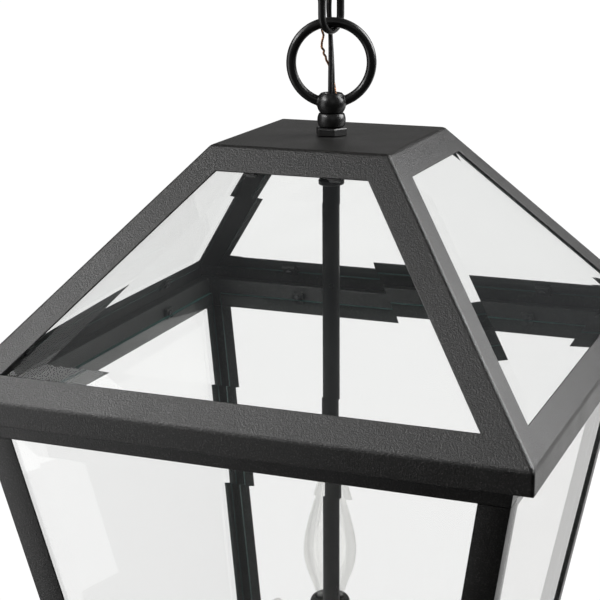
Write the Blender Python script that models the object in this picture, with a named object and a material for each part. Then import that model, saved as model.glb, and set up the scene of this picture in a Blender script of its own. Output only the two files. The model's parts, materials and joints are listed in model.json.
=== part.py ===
"""Hanging lantern: ceiling canopy, chain, pyramid roof, tapered glazed body and a three-candle cluster.

Metres, +Z up. The origin is on the ceiling, on the lantern's axis, and everything hangs below it.
The front is -Y.
"""

from math import atan2, cos, hypot, pi, radians, sin, sqrt, tan

import bmesh
import bpy
from mathutils import Vector

# Gaps between touching pieces, and the coarseness of round ones
GAP = 0.0003
ROUND = 24
FINE_ROUND = 40

# Heights on the axis, from the roof's top plate upwards (plate top = 0)
CEILING_ABOVE_PLATE = 0.2366
PLATE = -CEILING_ABOVE_PLATE

# Roof: a square pyramid frustum with a vertical skirt
EAVE_HALF = 0.165
PLATE_HALF = 0.053
ROOF_HEIGHT = 0.1284
SKIRT = 0.0131
SHEET = 0.0012
EAVE = PLATE - ROOF_HEIGHT
SKIRT_BOTTOM = EAVE - SKIRT
RAIL = 0.0165
HIP_BAR = 0.016
TOP_BAR = 0.017
RETURN_HALF = 0.1545

# Body: a square shaft that tapers downwards
BODY_TOP_HALF = 0.1526
TAPER = 0.178
BODY_DEPTH = 0.340
BAND_TOP = EAVE - 0.0068
BAND_BOTTOM = EAVE - 0.0260
BODY_BOTTOM = SKIRT_BOTTOM - BODY_DEPTH
BOTTOM_BAND = 0.018
BODY_SHEET = 0.0012
FRONT_LEG = 0.017
SIDE_LEG = 0.012
LIP_HALF = 0.1600
LIP = 0.0012

# Bevelled glass
GLASS = 0.004
GLASS_EDGE = 0.0022
GLASS_BEVEL = 0.019

# Hardware on the plate
STEM_R = 0.00515
STEM_BORE = 0.0040
SHANK_R = 0.0048
PLATE_HOLE_R = 0.0053
NUT_FLATS = 0.0165
NUT_TOP = 0.0048
NECK_TOP = 0.0131
COUPLING_R = 0.0071
COUPLING_BOTTOM = -0.0290
FLANGE_BOTTOM = -0.0326

# Loops and chain
LOOP_CENTRE = 0.04195
LOOP_RING_R = 0.0230
LOOP_WIRE_R = 0.0027
BALL_CENTRE = 0.0186
BALL_R = 0.0086
BALL_BORE = 0.0042
LOOP_TURN = radians(22)
LINK_WIRE_R = 0.0019
LINK_LENGTH = 0.0400
LINK_WIDTH = 0.0220
LINK_TURN = radians(75)
LINK_BOTTOM = LOOP_CENTRE + LOOP_RING_R - LOOP_WIRE_R - GAP - 2 * LINK_WIRE_R
LINK_PITCH = LINK_LENGTH - 4 * LINK_WIRE_R - GAP
LINKS = 3

# Canopy
TOP_LOOP_RING_R = 0.0185
TOP_LOOP_WIRE_R = 0.0025
CANOPY_R = 0.065
CANOPY_DEPTH = 0.0240
CANOPY_SHEET = 0.0012
CANOPY_HOLE_R = 0.0075
NECK_R = 0.0068
COLLAR_R = 0.0130
COLLAR = 0.0085
STRAP_LENGTH = 0.100
STRAP_WIDTH = 0.020
STRAP_SHEET = 0.0025
STRAP_SCREW_X = 0.0420
GROUND_SCREW_X = 0.0200

# Candle cluster, heights measured from the eave
CANDLE_RING_R = 0.0385
CANDLE_TURNS = (radians(112), radians(232), radians(352))
GLASS_SEATS = (EAVE - 0.1800, EAVE - 0.2393, EAVE - 0.2680)
SLEEVE_BOTTOM = EAVE - 0.3000
SLEEVE_R = 0.0130
SLEEVE_WALL = 0.0011
SLEEVE_MOUTH = 0.0095
ARM_R = 0.0035
ARM_BORE = 0.0024
ARM_START = 0.0115
ARM_LEVEL = EAVE - 0.3190
HUB_R = 0.0130
SOCKET_R = 0.0112
SOCKET_LENGTH = 0.0270
BASE_R = 0.0059
BASE_LENGTH = 0.0190

# Cords
CORD_R = 0.0018
STEM_CORD_R = 0.0022
WIRE_R = 0.00055

BLACK = ((0.018, 0.018, 0.019), 0.55, 0.6)
SATIN = ((0.012, 0.012, 0.013), 0.35, 0.7)
CLEAR = ((0.86, 0.93, 0.90), 0.05, 0.0)
BULB_CLEAR = ((0.95, 0.96, 0.96), 0.03, 0.0)
STEEL = ((0.55, 0.56, 0.57), 0.4, 1.0)
BRASS = ((0.72, 0.55, 0.25), 0.3, 1.0)
COPPER = ((0.72, 0.36, 0.20), 0.35, 1.0)
GREEN = ((0.05, 0.28, 0.10), 0.4, 0.8)
PHENOLIC = ((0.02, 0.02, 0.02), 0.5, 0.0)
PVC = ((0.015, 0.015, 0.016), 0.45, 0.0)


def clear_scene():
    for old in list(bpy.data.objects):
        bpy.data.objects.remove(old, do_unlink=True)


def material(name, finish):
    colour, roughness, metallic = finish
    made = bpy.data.materials.new(name)
    made.use_nodes = True
    shader = made.node_tree.nodes["Principled BSDF"]
    shader.inputs["Base Color"].default_value = (*colour, 1.0)
    shader.inputs["Roughness"].default_value = roughness
    shader.inputs["Metallic"].default_value = metallic
    return made


def place(name, data, finish, at=(0, 0, 0), turn=0.0):
    """An object with its own material, standing at a point and turned about Z."""
    made = bpy.data.objects.new(name, data)
    bpy.context.scene.collection.objects.link(made)
    made.location = at
    made.rotation_euler = (0, 0, turn)
    data.materials.append(material(name, finish))
    return made


def mesh_of(name, points, faces):
    """A closed mesh with its faces turned outwards."""
    data = bpy.data.meshes.new(name)
    bm = bmesh.new()
    corners = [bm.verts.new(p) for p in points]
    for face in faces:
        bm.faces.new([corners[i] for i in face])
    bmesh.ops.recalc_face_normals(bm, faces=bm.faces)
    bm.to_mesh(data)
    bm.free()
    return data


def loft(name, rings):
    """A solid through rings of equally many points, closed by the first and last ring."""
    count = len(rings[0])
    points = [p for ring in rings for p in ring]
    faces = [list(range(count)), [len(points) - count + i for i in range(count)]]
    for level in range(len(rings) - 1):
        low, high = level * count, (level + 1) * count
        faces += [(low + i, low + (i + 1) % count, high + (i + 1) % count, high + i) for i in range(count)]
    return mesh_of(name, points, faces)


def turned(name, profile, segments=ROUND, square=False):
    """A profile of (radius, height) spun about Z; a profile that starts and ends on the axis is a full solid.

    With square, radius means half the width of a square section.
    """
    data = bpy.data.meshes.new(name)
    bm = bmesh.new()
    stretch, start, steps = (sqrt(2), pi / 4, 4) if square else (1.0, 0.0, segments)
    hollow = min(r for r, _ in profile) > 1e-9
    spots = [Vector((r * stretch * cos(start), r * stretch * sin(start), z)) for r, z in profile]
    corners = [bm.verts.new(p) for p in spots]
    pairs = list(zip(corners, corners[1:])) + ([(corners[-1], corners[0])] if hollow else [])
    edges = [bm.edges.new(pair) for pair in pairs]
    bmesh.ops.spin(bm, geom=corners + edges, cent=(0, 0, 0), axis=(0, 0, 1), angle=2 * pi,
                   steps=steps, use_merge=True, use_duplicate=False)
    bmesh.ops.remove_doubles(bm, verts=bm.verts, dist=1e-7)
    bmesh.ops.recalc_face_normals(bm, faces=bm.faces)
    bm.to_mesh(data)
    bm.free()
    if not square:
        data.shade_smooth()
        data.set_sharp_from_angle(angle=radians(35))
    return data


def prism(name, outline, low, high):
    """An outline of (x, y) extruded from one height to another."""
    return loft(name, [[(x, y, z) for x, y in outline] for z in (low, high)])


def block(name, low, high):
    (x0, y0, z0), (x1, y1, z1) = low, high
    return prism(name, [(x0, y0), (x1, y0), (x1, y1), (x0, y1)], z0, z1)


def curve_through(name, points, radius, sides, closed=False):
    """A round tube through the points; sides is the bevel resolution."""
    data = bpy.data.curves.new(name, "CURVE")
    data.dimensions = "3D"
    data.bevel_depth = radius
    data.bevel_resolution = sides
    data.use_fill_caps = not closed
    spline = data.splines.new("POLY")
    spline.points.add(len(points) - 1)
    for spot, p in zip(spline.points, points):
        spot.co = (*p, 1.0)
    spline.use_cyclic_u = closed
    return data


def smooth_route(stops, step):
    """Points about step apart on a Catmull-Rom curve through the stops."""
    stops = [Vector(s) for s in stops]
    ends = [2 * stops[0] - stops[1], *stops, 2 * stops[-1] - stops[-2]]
    route = []
    for a, b, c, d in zip(ends, ends[1:], ends[2:], ends[3:]):
        count = max(1, round((c - b).length / step))
        for i in range(count):
            t = i / count
            route.append(0.5 * (2 * b + (c - a) * t + (2 * a - 5 * b + 4 * c - d) * t ** 2
                                + (3 * b - a - 3 * c + d) * t ** 3))
    return [*route, stops[-1]]


def boolean(target, tool, operation="DIFFERENCE"):
    cut = target.modifiers.new(operation.lower(), "BOOLEAN")
    cut.operation = operation
    cut.solver = "EXACT"
    cut.object = tool
    tool.hide_render = True
    tool.display_type = "WIRE"
    return cut


def cutter(name, data, at=(0, 0, 0), turn=0.0):
    """A tool object that only shapes others."""
    tool = bpy.data.objects.new("cut_" + name, data)
    bpy.context.scene.collection.objects.link(tool)
    tool.location = at
    tool.rotation_euler = (0, 0, turn)
    tool.hide_render = True
    tool.display_type = "WIRE"
    return tool


def rod(name, radius, low, high, segments=ROUND):
    return turned(name, [(0, low), (radius, low), (radius, high), (0, high)], segments)


def pipe(name, outer, bore, low, high, segments=ROUND):
    return turned(name, [(bore, low), (outer, low), (outer, high), (bore, high)], segments)


def hexagon(across_flats):
    reach = across_flats / sqrt(3)
    return [(reach * cos(k * pi / 3), reach * sin(k * pi / 3)) for k in range(6)]


def side_turns():
    """The four sides by name, with their turn about Z from the front."""
    return (("front", 0.0), ("right", pi / 2), ("back", pi), ("left", -pi / 2))


# Roof

ROOF_RUN = EAVE_HALF - PLATE_HALF
ROOF_SLOPE = atan2(ROOF_HEIGHT, ROOF_RUN)
ROOF_LENGTH = hypot(ROOF_HEIGHT, ROOF_RUN)
HIP_GAIN = ROOF_RUN / ROOF_LENGTH


def on_roof(across, along, depth):
    """A point of the front roof slope: across, up the slope from the eave, and depth under the outer face."""
    y = -EAVE_HALF + along * cos(ROOF_SLOPE) + depth * sin(ROOF_SLOPE)
    z = EAVE + along * sin(ROOF_SLOPE) - depth * cos(ROOF_SLOPE)
    return (across, y, z)


def roof_half_at(along, hip_inset):
    """Half the width inside the hip bars, measured square to the hip line."""
    return EAVE_HALF - along * HIP_GAIN - hip_inset * sqrt(1 + HIP_GAIN ** 2)


def trapezoid_on_roof(bottom, top, hip_inset, depth):
    low, high = roof_half_at(bottom, hip_inset), roof_half_at(top, hip_inset)
    return [on_roof(*p, depth) for p in ((-low, bottom), (low, bottom), (high, top), (-high, top))]


def roof_frame():
    slip = SHEET / tan(ROOF_SLOPE / 2)
    under_slope = SHEET / sin(ROOF_SLOPE)
    inner_eave = EAVE_HALF - SHEET
    eave_inside = EAVE + (EAVE_HALF - inner_eave - under_slope) * tan(ROOF_SLOPE)
    under_plate = PLATE - SHEET
    inner_top = inner_eave - (under_plate - eave_inside) / tan(ROOF_SLOPE)
    profile = [
        (0, PLATE), (PLATE_HALF, PLATE), (EAVE_HALF, EAVE), (EAVE_HALF, SKIRT_BOTTOM),
        (RETURN_HALF, SKIRT_BOTTOM), (RETURN_HALF, SKIRT_BOTTOM + SHEET), (inner_eave, SKIRT_BOTTOM + SHEET),
        (inner_eave, eave_inside), (inner_top, under_plate), (0, under_plate),
    ]
    frame = place("roof_frame", turned("roof_frame", profile, square=True), BLACK)
    for side, turn in side_turns():
        top_edge = ROOF_LENGTH - TOP_BAR
        rings = [trapezoid_on_roof(RAIL, top_edge, HIP_BAR, depth) for depth in (-slip, 4 * SHEET)]
        boolean(frame, cutter("window_" + side, loft("window_" + side, rings), turn=turn))
    hole = rod("plate_hole", PLATE_HOLE_R, under_plate - SHEET, PLATE + SHEET, 16)
    boolean(frame, cutter("plate_hole", hole))


def bevelled_pane(name, outline_at, turn):
    """A pane whose rim tapers to a thin edge outside; outline_at(inset, depth) gives its corners."""
    thin = GLASS - GLASS_EDGE
    rings = [outline_at(0.0, GLASS), outline_at(0.0, thin), outline_at(GLASS_BEVEL, 0.0)]
    place(name, loft(name, rings), CLEAR, turn=turn)


def roof_glass():
    bottom, top, inset = RAIL - 0.0095, ROOF_LENGTH - TOP_BAR + 0.004, HIP_BAR - 0.004
    for side, turn in side_turns():
        bevelled_pane("roof_glass_" + side, lambda rim, depth: trapezoid_on_roof(
            bottom + rim, top - rim, inset + rim, SHEET + GAP + depth), turn)


# Body

def body_half(z):
    """Half the body's outer width at a height."""
    return BODY_TOP_HALF + TAPER * (z - SKIRT_BOTTOM)


def body_top_frame():
    lip_top = BAND_TOP
    profile = [
        (body_half(BAND_BOTTOM), BAND_BOTTOM),
        (body_half(lip_top - LIP), lip_top - LIP),
        (LIP_HALF, lip_top - LIP),
        (LIP_HALF, lip_top),
        (body_half(lip_top) - BODY_SHEET, lip_top),
        (body_half(BAND_BOTTOM) - BODY_SHEET, BAND_BOTTOM),
    ]
    place("body_top_frame", turned("body_top_frame", profile, square=True), BLACK)


def bottom_frame():
    top, low = BODY_BOTTOM + BOTTOM_BAND, BODY_BOTTOM
    flange = 0.010
    profile = [
        (body_half(low), low), (body_half(top), top), (body_half(top) - BODY_SHEET, top),
        (body_half(low + BODY_SHEET) - BODY_SHEET, low + BODY_SHEET),
        (body_half(low) - flange, low + BODY_SHEET), (body_half(low) - flange, low),
    ]
    place("bottom_frame", turned("bottom_frame", profile, square=True), BLACK)


def corner_posts():
    levels = (BODY_BOTTOM + BOTTOM_BAND + GAP, BAND_BOTTOM - GAP)
    for name, x_side, y_side in (("front_left", -1, -1), ("front_right", 1, -1), ("back_right", 1, 1),
                                 ("back_left", -1, 1)):
        rings = []
        for z in levels:
            w, t = body_half(z), BODY_SHEET
            corners = ((w, w), (w - FRONT_LEG, w), (w - FRONT_LEG, w - t), (w - t, w - t),
                       (w - t, w - SIDE_LEG), (w, w - SIDE_LEG))
            rings.append([(x_side * x, y_side * y, z) for x, y in corners])
        place("corner_post_" + name, loft(name, rings), BLACK)


def body_glass():
    """Front and back panes fit between the wide legs, side panes between the narrow ones."""
    lean = hypot(1, TAPER)
    top, bottom = BAND_BOTTOM + 0.010, BODY_BOTTOM + BOTTOM_BAND - 0.008

    def outline(leg):
        def at(rim, depth):
            corners = []
            for z, ends in ((bottom + rim / lean, (-1, 1)), (top - rim / lean, (1, -1))):
                inward = (BODY_SHEET + GAP + depth) * lean
                half = body_half(z) - leg - rim
                corners += [(end * half, -body_half(z) + inward, z) for end in ends]
            return corners
        return at

    for side, turn in side_turns():
        leg = (FRONT_LEG if side in ("front", "back") else SIDE_LEG) - 0.006
        bevelled_pane("body_glass_" + side, outline(leg), turn)


# Loops, chain and plate hardware

def loop(name, finish, ring_radius, wire_radius, ring_centre, ball_centre, neck, turn):
    """A ring cast in one with a hollow ball.

    neck gives the ball's turned profile from its ring side outwards.
    """
    count = 32
    ring = [(ring_radius * cos(2 * pi * k / count), 0, ring_centre + ring_radius * sin(2 * pi * k / count))
            for k in range(count)]
    tool = cutter(name + "_ring", curve_through(name + "_ring", ring, wire_radius, 3, closed=True), turn=turn)
    bore = cutter(name + "_bore", rod(name, BALL_BORE, ball_centre - 0.03, ball_centre + 0.03, 16))
    made = place(name, turned(name, neck), finish)
    boolean(made, as_mesh(tool), "UNION")
    boolean(made, bore)
    return made


def as_mesh(curve_object):
    """The same tool as a mesh, because a Boolean reads only meshes."""
    data = bpy.data.meshes.new_from_object(curve_object.evaluated_get(bpy.context.evaluated_depsgraph_get()))
    name, at, turn = curve_object.name, curve_object.location.copy(), curve_object.rotation_euler.z
    bpy.data.objects.remove(curve_object, do_unlink=True)
    bm = bmesh.new()
    bm.from_mesh(data)
    bmesh.ops.remove_doubles(bm, verts=bm.verts, dist=1e-6)
    bmesh.ops.recalc_face_normals(bm, faces=bm.faces)
    bm.to_mesh(data)
    bm.free()
    return cutter(name.removeprefix("cut_"), data, at, turn)


def ball_profile(centre, radius, low, high):
    """Points of a ball's outline between two heights, bottom first, closed to the axis."""
    steps = 8
    first, last = ((h - centre) / radius for h in (low, high))
    points = []
    for k in range(steps + 1):
        share = first + (last - first) * k / steps
        points.append((radius * sqrt(max(0.0, 1 - share ** 2)), centre + radius * share))
    return [(0, low), *points, (0, high)]


def lantern_loop():
    low, high = PLATE + NECK_TOP + GAP, PLATE + BALL_CENTRE + 0.0062
    profile = ball_profile(PLATE + BALL_CENTRE, BALL_R, low, high)
    ring_centre, ball_centre = PLATE + LOOP_CENTRE, PLATE + BALL_CENTRE
    loop("lantern_loop", SATIN, LOOP_RING_R, LOOP_WIRE_R, ring_centre, ball_centre, profile, LOOP_TURN)


CHAIN_TOP = PLATE + LINK_BOTTOM + LINKS * LINK_PITCH + 2 * LINK_WIRE_R
TOP_LOOP_CENTRE = CHAIN_TOP + TOP_LOOP_RING_R - TOP_LOOP_WIRE_R
TOP_BALL_CENTRE = TOP_LOOP_CENTRE + TOP_LOOP_RING_R + TOP_LOOP_WIRE_R - 0.0010
CANOPY_BOTTOM = -GAP - CANOPY_DEPTH
COLLAR_BOTTOM = CANOPY_BOTTOM - GAP - COLLAR
NECK_END = CANOPY_BOTTOM + 0.0050


def canopy_loop():
    ball = ball_profile(TOP_BALL_CENTRE, BALL_R, TOP_BALL_CENTRE - 0.0062, TOP_BALL_CENTRE + 0.0052)
    profile = [*ball[:-1], (NECK_R, NECK_END), (0, NECK_END)]
    loop("canopy_loop", SATIN, TOP_LOOP_RING_R, TOP_LOOP_WIRE_R, TOP_LOOP_CENTRE, TOP_BALL_CENTRE, profile,
         LINK_TURN + pi / 2)


def chain():
    """Oval links, each turned a quarter from its neighbour and standing on the wire it hangs from."""
    turn_radius = LINK_WIDTH / 2 - LINK_WIRE_R
    straight = LINK_LENGTH / 2 - LINK_WIRE_R - turn_radius
    arc = 10
    for number in range(LINKS, 0, -1):
        above = LINKS - number
        wire = LINK_WIRE_R if number > 1 else TOP_LOOP_WIRE_R
        drop = LINK_LENGTH / 2 - 2 * LINK_WIRE_R - GAP - wire
        outline = []
        for side in (1, -1):
            for k in range(arc + 1):
                angle = pi * k / arc if side > 0 else pi + pi * k / arc
                height = side * straight + turn_radius * sin(angle) - drop
                outline.append((turn_radius * cos(angle), 0, height))
        bearing = PLATE + LINK_BOTTOM + above * LINK_PITCH + LINK_LENGTH / 2 + drop
        name = f"chain_link_{number}"
        place(name, curve_through(name, outline, LINK_WIRE_R, 3, closed=True), SATIN, (0, 0, bearing),
              LINK_TURN + (pi / 2 if above % 2 else 0))


def plate_hardware():
    neck = PLATE + (NUT_TOP + NECK_TOP) / 2
    low, high = PLATE + NUT_TOP + GAP, PLATE + NECK_TOP
    ball = [p for p in ball_profile(neck, 0.0083, low, high)[1:-1]]
    bore = 0.0033
    shank_end = PLATE - 0.0125
    profile = [(bore, shank_end), (SHANK_R, shank_end), (SHANK_R, low), *ball, (bore, high)]
    place("neck_ball", turned("neck_ball", profile), SATIN)
    nut = place("plate_nut", prism("plate_nut", hexagon(NUT_FLATS), PLATE + GAP, PLATE + NUT_TOP), SATIN)
    boolean(nut, cutter("nut_bore", rod("nut_bore", SHANK_R + GAP, PLATE - SHEET, PLATE + NECK_TOP, 16)))
    wide = STEM_R + GAP
    top = PLATE - SHEET - GAP
    coupling = [
        (wide, PLATE + COUPLING_BOTTOM), (COUPLING_R, PLATE + COUPLING_BOTTOM),
        (COUPLING_R, top), (wide, top), (wide, PLATE - 0.0135),
        (STEM_BORE, PLATE - 0.0135), (STEM_BORE, PLATE - 0.0150), (wide, PLATE - 0.0150),
    ]
    place("stem_coupling", turned("stem_coupling", coupling), SATIN)
    ring = pipe("stem_flange", 0.0076, wide, PLATE + FLANGE_BOTTOM, PLATE + COUPLING_BOTTOM - GAP)
    place("stem_flange", ring, SATIN)
    place("stem", pipe("stem", STEM_R, STEM_BORE, EAVE - 0.3165, PLATE - 0.0153), SATIN)
    place("stem_cord", rod("stem_cord", STEM_CORD_R, EAVE - 0.3180, PLATE + 0.0200, 12), PVC)


# Canopy and ceiling hardware

def canopy():
    """A stepped dish with a rolled rim at the ceiling and a hole for the loop's neck."""
    low, top, wall = CANOPY_BOTTOM, -GAP, CANOPY_SHEET
    outer = [(CANOPY_HOLE_R, low), (0.030, low), (0.046, low + 0.003), (0.055, low + 0.009),
             (0.0585, low + 0.0165), (0.0590, low + 0.0190), (0.0640, low + 0.0200),
             (CANOPY_R, low + 0.0215), (CANOPY_R, top)]
    inner = [(CANOPY_R - wall, top), (CANOPY_R - wall, low + 0.0222), (0.0578, low + 0.0206),
             (0.0572, low + 0.0168), (0.0540, low + 0.0100), (0.0455, low + 0.0043),
             (0.030, low + wall), (CANOPY_HOLE_R, low + wall)]
    place("canopy", turned("canopy", outer + inner, FINE_ROUND), BLACK)


def canopy_hardware():
    low, high = COLLAR_BOTTOM, COLLAR_BOTTOM + COLLAR
    collar = [(NECK_R + GAP, low), (COLLAR_R - 0.0015, low), (COLLAR_R, low + 0.0015),
              (COLLAR_R, high - 0.001), (COLLAR_R - 0.001, high), (NECK_R + GAP, high)]
    place("canopy_collar", turned("canopy_collar", collar), SATIN)
    nipple_r, nipple_low = 0.0049, NECK_END + GAP
    place("canopy_nipple", pipe("canopy_nipple", nipple_r, 0.0036, nipple_low, -0.0005), STEEL)
    nut_low, nut_high = -0.0075, -STRAP_SHEET - GAP
    nut = place("nipple_nut", prism("nipple_nut", hexagon(0.0150), nut_low, nut_high), STEEL)
    bore_r = nipple_r + GAP
    boolean(nut, cutter("nipple_nut_bore", rod("nipple_nut_bore", bore_r, -0.02, 0.01, 16)))
    half_x, half_y = STRAP_LENGTH / 2, STRAP_WIDTH / 2
    bar = block("strap", (-half_x, -half_y, -STRAP_SHEET), (half_x, half_y, 0))
    strap = place("mounting_strap", bar, STEEL)
    shank = 0.0020
    spots = (("nipple", 0.0, bore_r), ("left", -STRAP_SCREW_X, shank + GAP),
             ("right", STRAP_SCREW_X, shank + GAP), ("ground", GROUND_SCREW_X, shank + GAP))
    for hole, x, radius in spots:
        drill = rod("strap_" + hole, radius, -STRAP_SHEET - SHEET, SHEET, 16)
        boolean(strap, cutter("strap_" + hole, drill, (x, 0, 0)))
    for name, x, finish in (("strap_screw_1", -STRAP_SCREW_X, STEEL), ("strap_screw_2", STRAP_SCREW_X, STEEL),
                            ("ground_screw", GROUND_SCREW_X, GREEN)):
        head = -STRAP_SHEET - GAP
        profile = [(0, head - 0.0022), (0.0030, head - 0.0020), (0.0040, head - 0.0008), (0.0040, head),
                   (shank, head), (shank, -0.0002), (0, -0.0002)]
        place(name, turned(name, profile, 16), finish, (x, 0, 0))


# Candle cluster

def cluster():
    top, low, wall = EAVE - 0.3100, EAVE - 0.3280, 0.0020
    shell = [(STEM_R + GAP, top), (0.0085, top), (0.0115, top - 0.002), (HUB_R, top - 0.005), (HUB_R, low),
             (HUB_R - wall, low), (HUB_R - wall, top - wall - 0.003), (STEM_R + GAP, top - wall)]
    body = place("cluster_body", turned("cluster_body", shell), SATIN)
    cap_top = low - GAP
    finial = [(0, cap_top - 0.0170), (0.0030, cap_top - 0.0162), (0.0048, cap_top - 0.0130),
              (0.0030, cap_top - 0.0098), (0.0042, cap_top - 0.0085), (0.0100, cap_top - 0.0050),
              (HUB_R, cap_top - 0.0020), (HUB_R, cap_top), (0, cap_top)]
    place("cluster_finial", turned("cluster_finial", finial), SATIN)
    bend = CANDLE_RING_R - ARM_START - 0.0150
    for number, turn in enumerate(CANDLE_TURNS, 1):
        hole = rod("arm_hole", ARM_R + GAP, 0.0080, 0.0200, 16)
        tool = cutter(f"arm_hole_{number}", hole, (0, 0, ARM_LEVEL), turn)
        tool.rotation_euler = (0, pi / 2, turn)
        boolean(body, tool)
        arm(number, turn, bend)
        candle(number, turn, GLASS_SEATS[number - 1])


def arm(number, turn, bend):
    """A tube out of the hub and up into its cup."""
    end = SLEEVE_BOTTOM - 0.0062 - GAP
    rise = end - ARM_LEVEL
    route = [(ARM_START, 0, ARM_LEVEL), (CANDLE_RING_R - rise, 0, ARM_LEVEL)]
    steps = 8
    for k in range(1, steps + 1):
        angle = pi / 2 * k / steps
        route.append((CANDLE_RING_R - rise + rise * sin(angle), 0, ARM_LEVEL + rise * (1 - cos(angle))))
    name = f"arm_{number}"
    outer = as_mesh(cutter(name + "_outer", curve_through(name + "_outer", route, ARM_R, 3)))
    bore_route = [(ARM_START - 0.002, 0, ARM_LEVEL), *route[1:], (CANDLE_RING_R, 0, end + 0.002)]
    bore = as_mesh(cutter(name + "_bore", curve_through(name + "_bore", bore_route, ARM_BORE, 2), turn=turn))
    data = outer.data
    bpy.data.objects.remove(outer, do_unlink=True)
    made = place(name, data, SATIN, turn=turn)
    boolean(made, bore)


def candle(number, turn, seat):
    """Cup, sleeve, socket and bulb of one light; seat is the height of the glass at the sleeve's mouth."""
    at = (CANDLE_RING_R * cos(turn), CANDLE_RING_R * sin(turn), 0)
    low = SLEEVE_BOTTOM
    cup = [(ARM_BORE, low - 0.0062), (0.0070, low - 0.0062), (0.0135, low - 0.0035), (0.0160, low - 0.0005),
           (0.0155, low), (0.0140, low - 0.0012), (SLEEVE_R, low - GAP), (ARM_BORE, low - GAP)]
    place(f"cup_{number}", turned(f"cup_{number}", cup), SATIN, at)
    shoulder = 0.0048
    top = seat - 0.0002
    steps = 4
    crown = []
    for k in range(steps + 1):
        angle = pi / 2 * k / steps
        crown.append((SLEEVE_R - shoulder * 0.7 * (1 - cos(angle)), top - shoulder + shoulder * sin(angle)))
    sleeve = [(SLEEVE_R - SLEEVE_WALL, low), (SLEEVE_R, low), *crown, (SLEEVE_MOUTH, top - 0.0012),
              (SLEEVE_R - SLEEVE_WALL, top - shoulder)]
    place(f"candle_sleeve_{number}", turned(f"candle_sleeve_{number}", sleeve), SATIN, at)
    base_top = seat - 0.0050
    base_low = base_top - BASE_LENGTH
    floor = base_low - 0.0040
    mouth = base_top - 0.0010
    socket = [(0.0015, floor - 0.0025), (SOCKET_R, floor - 0.0025), (SOCKET_R, mouth), (BASE_R + GAP, mouth),
              (BASE_R + GAP, base_low - 0.0018), (0.0015, base_low - 0.0022)]
    place(f"socket_{number}", turned(f"socket_{number}", socket), PHENOLIC, at)
    shell = [(0, base_low), (BASE_R - 0.001, base_low), (BASE_R, base_low + 0.001),
             (BASE_R, base_top), (0, base_top)]
    place(f"bulb_base_{number}", turned(f"bulb_base_{number}", shell), BRASS, at)
    contact = [(0, base_low - 0.0016), (0.0022, base_low - 0.0012), (0.0026, base_low - GAP),
               (0, base_low - GAP)]
    place(f"bulb_contact_{number}", turned(f"bulb_contact_{number}", contact, 12), BRASS, at)
    outline = [(0.0058, -0.0047), (0.0068, -0.0030), (0.0085, 0.0), (0.0112, 0.0085), (0.0139, 0.0157),
               (0.0157, 0.0213), (0.0171, 0.0300), (0.0166, 0.0400), (0.0147, 0.0500), (0.0121, 0.0600),
               (0.0090, 0.0700), (0.0057, 0.0790), (0.0030, 0.0835), (0, 0.0850)]
    glass = [(0, seat + outline[0][1]), *((r, seat + h) for r, h in outline)]
    place(f"bulb_glass_{number}", turned(f"bulb_glass_{number}", glass), BULB_CLEAR, at)


# Cords

def chain_point(along, aside, height):
    """A point by its offset along the lowest link's plane, its offset square to it and its height."""
    c, s = cos(LINK_TURN), sin(LINK_TURN)
    return (along * c - aside * s, along * s + aside * c, PLATE + height)


CORD_STOPS = (
    (0.0000, 0.0000, 0.0203), (0.0000, 0.0000, 0.0260), (0.0014, 0.0010, 0.0350),
    (0.0036, 0.0028, 0.0480), (0.0047, 0.0042, 0.0600), (0.0036, 0.0043, 0.0720),
    (0.0040, 0.0042, 0.0830), (0.0043, 0.0043, 0.0930), (0.0028, 0.0044, 0.1030),
    (0.0000, 0.0044, 0.1105), (-0.0028, 0.0044, 0.1180), (-0.0043, 0.0043, 0.1280),
    (-0.0048, 0.0043, 0.1400), (-0.0050, 0.0043, 0.1560), (-0.0046, 0.0038, 0.1640),
    (-0.0022, 0.0018, 0.1760), (-0.0002, 0.0002, 0.1870), (0.0000, 0.0000, 0.1940),
    (0.0000, 0.0000, 0.2030),
)
WIRE_STOPS = (
    (0.0025, -0.0012, 0.0225), (0.0031, -0.0002, 0.0270), (0.0037, 0.0016, 0.0330),
    (0.0040, 0.0028, 0.0360), (0.0037, 0.0041, 0.0395), (0.0022, 0.0053, 0.0440),
    (-0.0006, 0.0060, 0.0503), (-0.0002, 0.0056, 0.0570), (-0.0004, 0.0062, 0.0640),
    (-0.0012, 0.0056, 0.0720), (-0.0028, 0.0042, 0.0820), (-0.0034, 0.0036, 0.0930),
    (-0.0034, 0.0014, 0.1030), (-0.0036, -0.0014, 0.1120), (-0.0035, -0.0034, 0.1220),
    (-0.0034, -0.0037, 0.1320), (-0.0040, -0.0042, 0.1450), (-0.0038, -0.0040, 0.1600),
    (-0.0026, -0.0032, 0.1720), (-0.0013, -0.0028, 0.1830), (-0.0008, -0.0028, 0.1920),
    (-0.0008, -0.0028, 0.2020),
)


def cords():
    """The lamp cord and the bare ground wire, threaded down through the chain into the lantern's loop."""
    for name, stops, radius, finish in (("power_cord", CORD_STOPS, CORD_R, PVC),
                                        ("ground_wire", WIRE_STOPS, WIRE_R, COPPER)):
        route = smooth_route([chain_point(*stop) for stop in stops], 0.0035)
        place(name, curve_through(name, route, radius, 2), finish)


def hang_on_chain(pieces):
    """Everything below the chain swings about the lowest link's wire."""
    pivot = bpy.data.objects.new("lantern_pivot", None)
    bpy.context.scene.collection.objects.link(pivot)
    pivot.location.z = PLATE + LINK_BOTTOM + LINK_WIRE_R
    for piece in pieces:
        piece.parent = pivot
        piece.location.z -= pivot.location.z


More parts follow.
